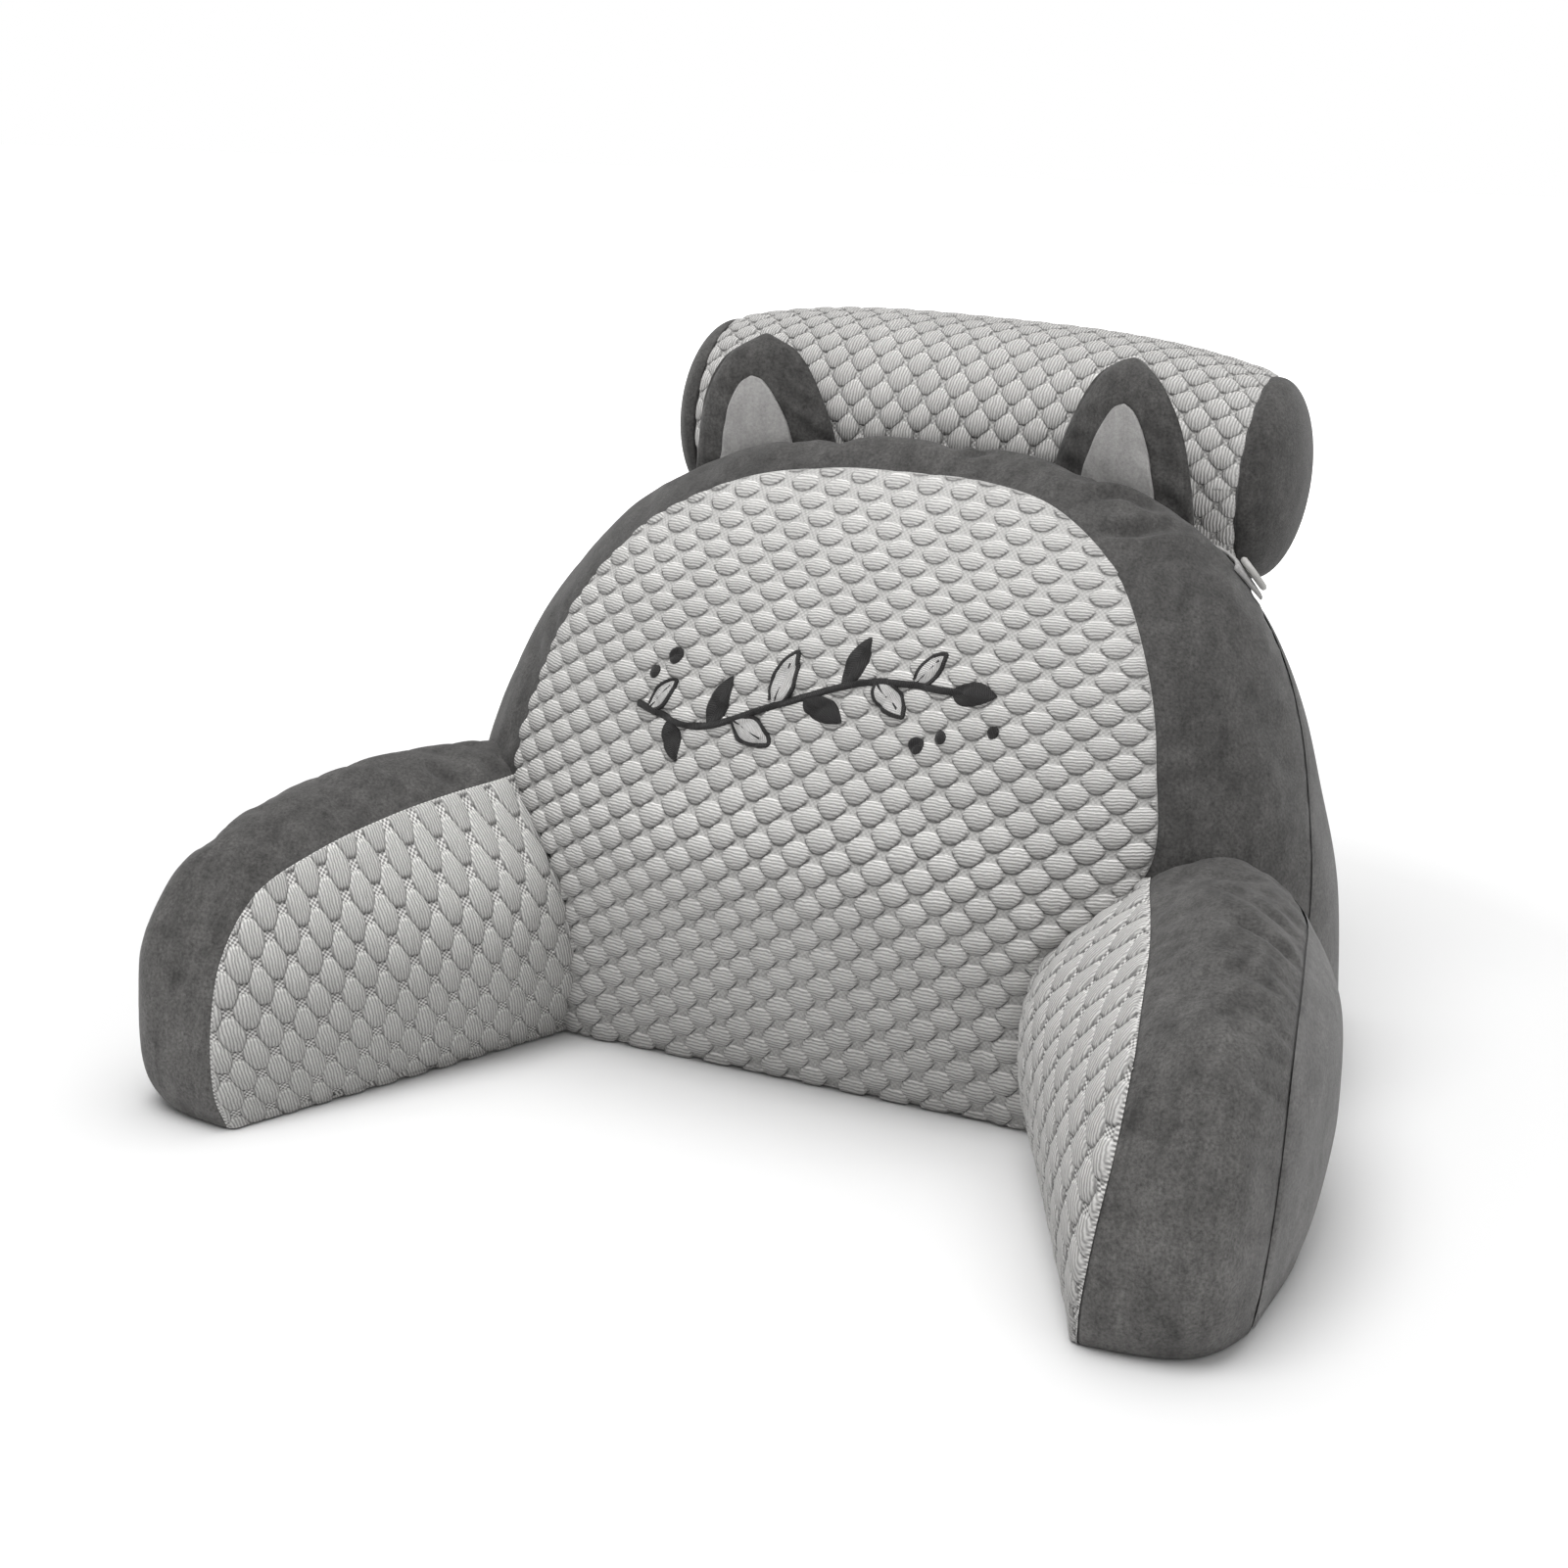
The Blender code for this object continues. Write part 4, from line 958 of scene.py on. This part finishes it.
def armSurfaces(columns, rows, steps):
    ribs, corner = arm["ribs"], arm["cornerRib"]
    top = throughKeys(ribs, evenTimes(ribs[:, 0], 0, corner, columns))
    nose = throughKeys(ribs, evenTimes(ribs[:, 0], len(ribs) - 1, corner, rows))
    shares = np.linspace(0, 1, steps + 1)[None]
    u, v = np.linspace(0, 1, columns + 1)[:, None], np.linspace(0, 1, rows + 1)[None]

    def panel(which, name):
        foot, root = arm["foot" + name], arm["root" + name]
        grid = patch(evenCurve(foot, columns), top[:, which], evenCurve(root, rows), nose[:, which])
        swell = np.maximum(np.sin(math.pi * v), 0) ** 0.9 * (1 - u ** 3) ** 0.5 * np.minimum(1, 3 * u)
        name = name.lower()
        return grid + swell[..., None] * arm[name + "Crown"] * np.array(arm[name + "Outward"])

    return {"inner": panel(0, "Inner"), "outer": panel(2, "Outer"), "top": acrossRibs(top, shares),
            "nose": acrossRibs(nose, shares)}


def onBackrest(grid, clear):
    # pulls the points onto the backrest's outside
    out = grid.copy()
    flat = out.reshape(-1, 3)
    for k, point in enumerate(grid.reshape(-1, 3).tolist()):
        spot, normal, _, _ = backTree.find_nearest(point)
        flat[k] = spot + normal * clear
    out[..., 2] = np.maximum(out[..., 2], 0)
    return out


def makeArmCushion(side, sign):
    s = armSurfaces(arm["columns"], arm["rows"], arm["steps"])
    s = {key: grid * (sign, 1, 1) for key, grid in s.items()}
    turned = sign < 0
    inner = sunk(s["inner"], gridNormals(s["inner"], turned))
    outer = sunk(s["outer"], gridNormals(s["outer"], not turned))
    top = bandTo(puckered(s["top"], 44 + sign), inner[:, -1], outer[:, -1])
    nose = bandTo(puckered(s["nose"], 47 + sign), inner[-1], outer[-1])
    clear = pillow["clear"]
    inner, outer, top = (trimmedGrid(grid, clear) for grid in (inner, outer, top))
    for grid in (inner, outer):
        grid[:, 0, 2] = 0
    shares = np.linspace(0, 1, arm["steps"] + 1)[:, None]
    rootLow = onBackrest(mix(inner[0, 0], outer[0, 0], shares)[None], clear)[0]
    rootLow[0], rootLow[-1], rootLow[:, 2] = inner[0, 0], outer[0, 0], 0
    floor = patch(inner[:, 0], outer[:, 0], rootLow, nose[0])
    floor[..., 2] = 0
    root = patch(inner[0], outer[0], rootLow, top[0])
    root[1:-1, 1:-1] = onBackrest(root, clear)[1:-1, 1:-1]
    grids = [inner, outer, floor, root, top, nose]
    piece, index = meshObject("armCushion" + side, grids, darkVelour, closed=True)
    stuffed(piece, heldPoints(piece, index, grids, 4))
    creased(subdivided(piece), creases["arm" + side])
    finished(piece, "arm_cushion_" + side.lower())
    return piece


armQuilt = plainPuffs | {
    "columns": 240, "rows": 140,
    "pitchAcross": 19.6, "pitchUp": 29.0, "puffAcross": 13.8, "puffUp": 22.8,
    "taperTop": 0.12, "taperFoot": 0.04, "square": 3.2, "lowHead": 0.0, "headLitTone": 1.10, "footShadedTone": 0.86,
    # the cloth's own directions, from millimetres along the arm and up
    "stretch": 1.012, "lean": -0.588, "leanChange": 0.0025, "spread": 0.00097,
    # the knit isn't cut as a mirror image on the right
    "stretchRight": 0.84, "leanRight": 0.62, "climbRight": 1.30, "tiltRight": -0.25,
    "climb": 1.169, "climbChange": -0.00066, "tilt": -0.088, "tiltChange": 0.0010,
    "gapTone": 1.42, "gapHoles": 0.42, "uneven": 0.6,
    "shadowLineFrom": 0.20, "shadowLineTones": (0.42, 0.62),
    "relief": 0.0026, "sunkBy": 0.0006, "phaseAcross": 4.0, "phaseUp": 9.0,
    "tuck": 0.0045,           # how far the panel's root goes into the crease beside the front panel
    "rootCalm": (0.001, 0.006),
}
armKnit = makeKnit("knitArm", armQuilt)


def makeArmInner(side, sign):
    q = armQuilt
    turned = sign < 0
    grid = armSurfaces(q["columns"], q["rows"], 2)["inner"] * (sign, 1, 1)
    grid = trimmedGrid(grid, -q["tuck"])
    forward = arm["footInner"][-1] - arm["footInner"][1]
    forward = forward / np.linalg.norm(forward) * (sign, 1, 1)
    a, z = (grid - arm["footInner"][0] * (sign, 1, 1)) @ forward * 1000, grid[..., 2] * 1000
    if turned:
        across = a * (q["stretch"] + z * q["spread"]) + z * (q["lean"] + z * q["leanChange"])
        up = z * (q["climb"] + z * q["climbChange"]) + a * (q["tilt"] + z * q["tiltChange"])
    else:
        across = a * q["stretchRight"] + z * q["leanRight"]
        up = z * q["climbRight"] + a * q["tiltRight"]
    distance = edgeDistance(grid, "rt")
    calm = smooth(*knit["seamCalm"], distance) * smooth(*q["rootCalm"], edgeDistance(grid, "l"))
    height, cloth = knitFields(grid, across + q["phaseAcross"], up + q["phaseUp"], calm, q)
    lift = height * q["relief"] - q["sunkBy"] * calm - seamDip(distance, *knit["seam"])
    points = raised(grid, gridNormals(grid, turned), lift)
    piece, _ = meshObject("armInnerPanel" + side, [points], armKnit, {"cloth": [cloth]}, flip=turned)
    finished(piece, "arm_inner_panel_" + side.lower())
    return piece


def makeArmOuter(side, sign):
    grid = armSurfaces(*velourPanels["outerSteps"])["outer"] * (sign, 1, 1)
    grid = trimmedGrid(grid, pillow["clear"])
    piece = makeVelourPanel("armOuterPanel" + side, "outer", grid, "rt", sign > 0)
    finished(piece, "arm_outer_panel_" + side.lower())


for side, sign in bothSides:
    makeArmCushion(side, sign)
    makeArmInner(side, sign)
    makeArmOuter(side, sign)
print("pillow: arms ready")

# ears
ear = {
    "innerEdge": drawn(((0.064, 0.190, 0.292), (0.067, 0.191, 0.322), (0.079, 0.189, 0.348),
                        (0.092, 0.187, 0.368), (0.106, 0.187, 0.3785))),
    "outerEdge": drawn(((0.153, 0.178, 0.272), (0.151, 0.178, 0.302), (0.143, 0.174, 0.338),
                        (0.130, 0.175, 0.364), (0.115, 0.186, 0.3775))),
    "frontBulge": 0.011, "backBulge": 0.006,
    "across": 48, "up": 60, "tipPower": 2.6,
    "tipRows": 1.4, "thinner": 0.55, "fuller": 0.10,  # closer rows, thinner cloth at the tip, fuller sides
    "roundFrom": {1: 0.90, -1: 0.76},                 # right, left: the tip is rounded above this share
    "fold": 0.0030, "foldPitch": 0.018,               # soft creases that run in from the edges
    "liningMargin": 0.235, "liningFoot": 0.0, "liningTop": 0.62,
    "tuck": 0.003,            # how far the roots go into the seam, because the gusset settles a little
    "liningLift": 0.0015, "liningThick": 0.0016,
}


def roundedTip(share):
    return np.sqrt(np.maximum(1 - share ** ear["tipPower"], 0))


def earPoints(u, v, facing, sign):
    inner, outer = (throughKeys(ear[edge], v.ravel() * 4).reshape(v.shape + (3,))
                    for edge in ("innerEdge", "outerEdge"))
    top = np.clip((v - ear["roundFrom"][sign]) / (1 - ear["roundFrom"][sign]), 0, 1)
    fuller = ear["fuller"] * smooth(0.25, 0.75, v) * (1 - smooth(0.75, 1.0, v))
    u = 0.5 + (u - 0.5) * (1 + fuller) * roundedTip(top)
    swell = np.maximum(4 * u * (1 - u), 0) ** 0.6 * (1 - ear["thinner"] * v ** 3) * roundedTip(top)
    bulge = ear["frontBulge"] if facing < 0 else ear["backBulge"]
    points = mix(inner, outer, u[..., None])
    rim = 1 - np.clip(4 * u * (1 - u), 0, 1)
    slope = points[..., 0] * sign * 0.5 + points[..., 2]
    folds = np.sin(2 * math.pi * slope / ear["foldPitch"] + 2 * roughly(points, 0.03, 31))
    folded = ear["fold"] * folds * rim * swell * smooth(0.0, 0.3, swell)
    points[..., 1] += facing * (swell * bulge + folded)
    return points * (sign, 1, 1)


def makeEar(side, sign):
    u = np.linspace(0, 1, ear["across"] + 1)[:, None]
    v = np.linspace(0, 1, ear["up"] + 1)[None]
    u, v = np.broadcast_arrays(u, v)
    faces = []
    v = 1 - (1 - v) ** ear["tipRows"]
    for facing in (-1, 1):
        grid = earPoints(u, v, facing, sign).transpose(1, 0, 2)
        faces.append(trimmedGrid(grid, -ear["tuck"]))
    front, back = faces
    back[:, 0], back[:, -1] = front[:, 0], front[:, -1]
    shares = np.linspace(0, 1, 5)[:, None, None]
    base = mix(front[0][None], back[0][None], shares)
    tip = mix(front[-1][None], back[-1][None], shares)
    piece, _ = meshObject("ear" + side, [front, back, base, tip], darkVelour, closed=True)
    finished(subdivided(piece), "ear_" + side.lower())

    across = np.linspace(0, 1, 25)[:, None]
    share = np.linspace(0, 1, 29)[None]
    height = mix(ear["liningFoot"], ear["liningTop"], share)
    half = (0.5 - ear["liningMargin"]) * roundedTip(share)
    lining = earPoints(0.5 + (2 * across - 1) * half, height + 0 * across, -1, sign)
    lining = trimmedGrid(lining.transpose(1, 0, 2), -ear["tuck"])
    outer, inner = lining.copy(), lining.copy()
    outer[..., 1] -= ear["liningLift"] + ear["liningThick"]
    inner[..., 1] -= ear["liningLift"] * 0.3
    rims = [np.stack([outer[0], inner[0]]), np.stack([outer[-1], inner[-1]]),
            np.stack([outer[:, 0], inner[:, 0]]), np.stack([outer[:, -1], inner[:, -1]])]
    pale, _ = meshObject("earLining" + side, [outer, inner] + rims, paleVelour, closed=True)
    finished(pale, "ear_lining_" + side.lower())


for side, sign in bothSides:
    makeEar(side, sign)
print("pillow: ears ready")

# neck roll
roll = plainPuffs | {
    "centre": (-0.005, 0.2715 + shiftBack, 0.313),
    "middle": 0.0725, "end": 0.0570, "half": 0.1680,     # radii, and middle to the seam of an end piece
    "yaw": 1.5, "tilt": -2.4, "dome": 0.023,
    "pitchAcross": 17.3, "rowsRound": 21, "puffAcross": 13.8, "puffUp": 16.8,
    "taperTop": 0.10, "square": 2.8, "lowHead": 0.10, "headLitTone": 1.08, "footShadedTone": 0.84,
    "gapTone": 1.04, "gapHoles": 0.66, "uneven": 0.5,
    "shadowLineFrom": 0.30, "shadowLineTones": (0.45, 0.45),
    "relief": 0.0023, "sunkBy": 0.0007, "columns": 220, "round": 340,
    "domeRows": 13, "endThick": 0.0026, "endClear": 0.0036,    # the end pieces, and the stuffing below
}
rollFrame = (Matrix.Translation(roll["centre"]) @ Matrix.Rotation(math.radians(roll["yaw"]), 4, "Z")
             @ Matrix.Rotation(-math.radians(roll["tilt"]), 4, "Y"))


def fromRoll(points):
    matrix = np.array(rollFrame)
    return points @ matrix[:3, :3].T + matrix[:3, 3]


def rollRadius(along):
    share = np.minimum(np.abs(along), roll["half"]) / roll["half"]
    return roll["end"] + (roll["middle"] - roll["end"]) * (1 - share ** 3)


def makeRoll():
    q = dict(roll, pitchUp=2 * math.pi * roll["middle"] * 1000 / roll["rowsRound"])
    along = np.linspace(-roll["half"], roll["half"], roll["columns"] + 1)[:, None]
    angle = np.linspace(0, 2 * math.pi, roll["round"] + 1)[None]
    along, angle = np.broadcast_arrays(along, angle)
    distance = roll["half"] - np.abs(along)
    calm = smooth(0.0005, 0.005, distance)
    up = -angle * roll["middle"] * 1000
    height, cloth = knitFields(aroundAxis(along, 0.07, angle), along * 1000, up, calm, q)
    radius = rollRadius(along) + height * q["relief"] - q["sunkBy"] * calm - seamDip(distance, 0.0014)
    cover = aroundAxis(along, -radius, angle)
    # the stuffing's domed ends, below the round end pieces
    domes, fields = [], [cloth]
    turn = np.linspace(0, math.pi / 2, roll["domeRows"])[:, None]
    for k, sign in ((-1, 1), (0, -1)):
        rim = cover[k][None]
        dome = rim * (1, 0, 0) + rim * (0, 1, 1) * np.cos(turn)[..., None]
        dome[..., 0] += sign * (roll["dome"] - roll["endClear"]) * np.sin(turn)
        domes.append(dome)
        fields.append(np.tile(cloth[k][None], (roll["domeRows"], 1, 1)))
    grids = [fromRoll(grid) for grid in [cover] + domes]
    piece, _ = meshObject("neckRoll", grids, makeKnit("knitRoll", q), {"cloth": fields}, closed=True)
    finished(piece, "neck_roll")
    turn = np.linspace(0, math.pi / 2, 25)[:, None]
    angle = np.linspace(0, 2 * math.pi, 97)[None]
    for side, sign in bothSides:
        outer, inner = (aroundAxis(sign * (roll["half"] + roll["dome"] * np.sin(turn) - deep),
                               -roll["end"] * np.cos(turn), angle) for deep in (0.0, roll["endThick"]))
        grids = [fromRoll(grid) for grid in (outer, inner, np.stack([outer[0], inner[0]]))]
        end, _ = meshObject("neckRollEnd" + side, grids, darkVelour, closed=True)
        finished(end, "neck_roll_end_" + side.lower())


makeRoll()
print("pillow: neck roll ready")

# straps and buttons
strap = {
    "width": 0.022, "thick": 0.0020, "lift": 0.0012, "steps": 48,
    # (rib, share across the gusset), from the buttoned end; the left one sits lower and further back
    "onGusset": {1: ((6.44, 0.60), (6.48, 0.71), (6.54, 0.81), (6.61, 0.91), (6.68, 1.00)),
                 -1: ((5.92, 0.74), (6.02, 0.80), (6.20, 0.87), (6.42, 0.94), (6.62, 1.00))},
    # (place along the roll, degrees)
    "onRoll": ((0.146, 214), (0.144, 232), (0.143, 252), (0.142, 272)),
    # around the strap: share of the half width, share of the thickness
    "section": ((-1, 0), (-0.5, 0), (0.5, 0), (1, 0), (1, 0.5), (0.9, 1), (0, 1.15), (-0.9, 1),
                (-1, 0.5), (-1, 0)),
    "buttonRadius": 0.0105, "buttonThick": 0.0036, "buttonClear": 0.0006,
    "buttonColour": (0.42, 0.415, 0.40),
    # shares of the button's radius and thickness, from the middle of its face round to the back
    "buttonProfile": ((0.0, 0.86), (0.30, 0.80), (0.62, 0.80), (0.74, 0.98), (0.88, 1.0), (0.98, 0.75),
                      (1.0, 0.45), (0.94, 0.12), (0.80, 0.0), (0.0, 0.0)),
}


def gussetSpot(t, share, sign):
    ribs = throughKeys(backrest["ribs"], [t, t + 0.02])
    if sign < 0:
        ribs = leftOf(ribs)
    share = min(share, 0.98)
    spot, beyond = acrossRibs(ribs, np.array([[share, share + 0.02]]))[0]
    further = acrossRibs(ribs, np.array([[share]]))[1, 0]
    outward = np.cross(further - spot, beyond - spot)
    outward /= np.linalg.norm(outward)
    return spot, outward if outward[2] > 0 else -outward


def offTheRoll(point):
    local = rollFrame.inverted() @ Vector(point)
    need = float(rollRadius(abs(local.x) - strap["width"] / 2)) + strap["thick"] + strap["lift"]
    stretch = max(1.0, need / math.hypot(local.y, local.z))
    return np.array(rollFrame @ Vector((local.x, local.y * stretch, local.z * stretch)))


def strapPath(sign):
    # evenly spaced points and normals, from the gusset over to the back of the roll
    spots, normals = [], []
    for t, share in strap["onGusset"][sign]:
        spot, outward = gussetSpot(t, share, sign)
        spots.append(spot + outward * strap["lift"])
        normals.append(outward)
    for along, degrees in strap["onRoll"]:
        radius = float(rollRadius(along - strap["width"] / 2)) + strap["thick"] + strap["lift"]
        a = math.radians(degrees)
        spot = rollFrame @ Vector((along * sign, radius * math.cos(a), radius * math.sin(a)))
        inward = rollFrame @ Vector((along * sign, 0, 0)) - spot
        spots.append(np.array(spot))
        normals.append(np.array(inward.normalized()))
    times = evenTimes(np.array(spots), 0, len(spots) - 1, strap["steps"])
    points = np.array([offTheRoll(p) for p in throughKeys(spots, times)])
    normal = throughKeys(normals, times)
    return points, normal / np.linalg.norm(normal, axis=1, keepdims=True)


def makeStrap(side, sign):
    points, normal = strapPath(sign)
    across = np.cross(np.gradient(points, axis=0), normal)
    across *= strap["width"] / 2 / np.linalg.norm(across, axis=1, keepdims=True)
    up = normal * strap["thick"]
    around = [points + across * x + up * z for x, z in strap["section"]]
    piece, _ = meshObject("rollStrap" + side, [np.stack(around, 1)], paleVelour)
    mesh = bmesh.new()
    mesh.from_mesh(piece.data)
    bmesh.ops.holes_fill(mesh, edges=mesh.edges, sides=0)
    bmesh.ops.recalc_face_normals(mesh, faces=mesh.faces)
    mesh.to_mesh(piece.data)
    mesh.free()
    finished(piece, "roll_strap_" + side.lower())


def makeButton(side, sign):
    spot, outward = gussetSpot(*strap["onGusset"][sign][1], sign)
    seat = spot + outward * (strap["lift"] + strap["thick"] * 1.15 + strap["buttonClear"])
    turn = Vector(outward).to_track_quat("Z", "Y").to_matrix()
    profile = np.array(strap["buttonProfile"])
    angle = np.linspace(0, 2 * math.pi, 49)[None]
    radius = profile[:, :1] * strap["buttonRadius"]
    height = profile[:, 1:] * strap["buttonThick"] + 0 * angle
    grid = np.stack([radius * np.cos(angle), radius * np.sin(angle), height], -1)
    grid = grid @ np.array(turn).T + seat
    button, _ = meshObject("strapButton" + side, [grid], buttonPlastic, closed=True)
    finished(button, "strap_button_" + side.lower())


def makeButtonPlastic():
    n = Nodes("buttonPlastic")
    cloud = n.noise(n.place(), 300.0, 3.0, 0.5)
    n.bump(cloud, 0.1, 0.0002)
    return n.finish(n.tint(strap["buttonColour"], n.ramp(cloud, 0.3, 0.7, 0.93, 1.07)),
                    n.ramp(cloud, 0.3, 0.7, 0.38, 0.50))


buttonPlastic = makeButtonPlastic()
for side, sign in bothSides:
    makeStrap(side, sign)
    makeButton(side, sign)
print("pillow: straps ready")

# camera, floor and lights
view = {
    "spot": (0.50331, -1.11791, 0.50652),
    "azimuth": 26.005, "elevation": 16.215, "roll": 1.136,
    "focal": 2400.0, "picture": 1601.0,       # both in pixels of the photograph
}


def makeCamera():
    az, el, turn = (math.radians(view[key]) for key in ("azimuth", "elevation", "roll"))
    back = Vector((math.sin(az) * math.cos(el), -math.cos(az) * math.cos(el), math.sin(el)))
    right = Vector((math.cos(az), math.sin(az), 0))
    up = back.cross(right)
    x = math.cos(turn) * right + math.sin(turn) * up
    y = -math.sin(turn) * right + math.cos(turn) * up
    data = bpy.data.cameras.new("camera")
    data.sensor_width = 36
    data.sensor_fit = "HORIZONTAL"
    data.lens = view["focal"] / view["picture"] * data.sensor_width
    data.clip_start, data.clip_end = 0.05, 50
    camera = bpy.data.objects.new("camera", data)
    camera.matrix_world = Matrix.Translation(view["spot"]) @ Matrix((x, y, back)).transposed().to_4x4()
    bpy.context.collection.objects.link(camera)
    bpy.context.scene.camera = camera


studio = {
    "world": 1.0, "floor": (0.86, 0.86, 0.86), "floorSize": 30.0,
    "sky": ((0.0, 1.0), (0.07, 1.0), (0.12, 0.22), (0.55, 0.30), (1.0, 1.0)),    # (height, brightness)
    "glow": (0.5, 1.6, 0.0, 0.9),        # the backdrop paper brightens between these distances
    # name: (place, size in metres, watts)
    "lights": {"key": ((-0.2, -0.9, 2.6), 1.6, 34.0), "fill": ((1.9, -0.9, 1.2), 1.6, 3.0),
               "top": ((0.1, 0.5, 2.4), 2.0, 18.0)},
}


def makeStudio():
    world = bpy.data.worlds.new("studio")
    world.use_nodes = True
    tree = world.node_tree
    sky = tree.nodes["Background"]
    place = tree.nodes.new("ShaderNodeTexCoord")
    split = tree.nodes.new("ShaderNodeSeparateXYZ")
    ramp = tree.nodes.new("ShaderNodeValToRGB")
    tree.links.new(place.outputs["Generated"], split.inputs[0])
    tree.links.new(split.outputs["Z"], ramp.inputs[0])
    tree.links.new(ramp.outputs[0], sky.inputs["Color"])
    low, high = ramp.color_ramp.elements
    low.position, high.position = studio["sky"][0][0], studio["sky"][-1][0]
    for height, _ in studio["sky"][1:-1]:
        ramp.color_ramp.elements.new(height)
    for stop, (_, level) in zip(ramp.color_ramp.elements, studio["sky"]):
        stop.color = (level, level, level, 1)
    sky.inputs["Strength"].default_value = studio["world"]
    bpy.context.scene.world = world
    bpy.context.scene.view_settings.view_transform = "Standard"
    for name, (place, size, watts) in studio["lights"].items():
        data = bpy.data.lights.new(name, "AREA")
        data.shape = "DISK"
        data.size = size
        data.energy = watts
        light = bpy.data.objects.new(name, data)
        light.location = place
        light.rotation_euler = (Vector((0, 0, 0.15)) - Vector(place)).to_track_quat("-Z", "Y").to_euler()
        bpy.context.collection.objects.link(light)
    half = studio["floorSize"] / 2
    mesh = bmesh.new()
    bmesh.ops.create_grid(mesh, x_segments=8, y_segments=8, size=half)
    data = bpy.data.meshes.new("floor")
    mesh.to_mesh(data)
    mesh.free()
    floor = bpy.data.objects.new("floor", data)
    floor.location.z = -0.0005
    bpy.context.collection.objects.link(floor)
    n = Nodes("paper")
    away = n.add("ShaderNodeVectorMath", {0: n.place()}, output=1, operation="LENGTH")
    n.link(n.ramp(away, *studio["glow"]), n.shader.inputs["Emission Strength"])
    n.shader.inputs["Emission Color"].default_value = (1, 1, 1, 1)
    n.finish((*studio["floor"], 1.0), 0.9)
    data.materials.append(n.material)


makeCamera()
makeStudio()
print("pillow: camera and studio ready")
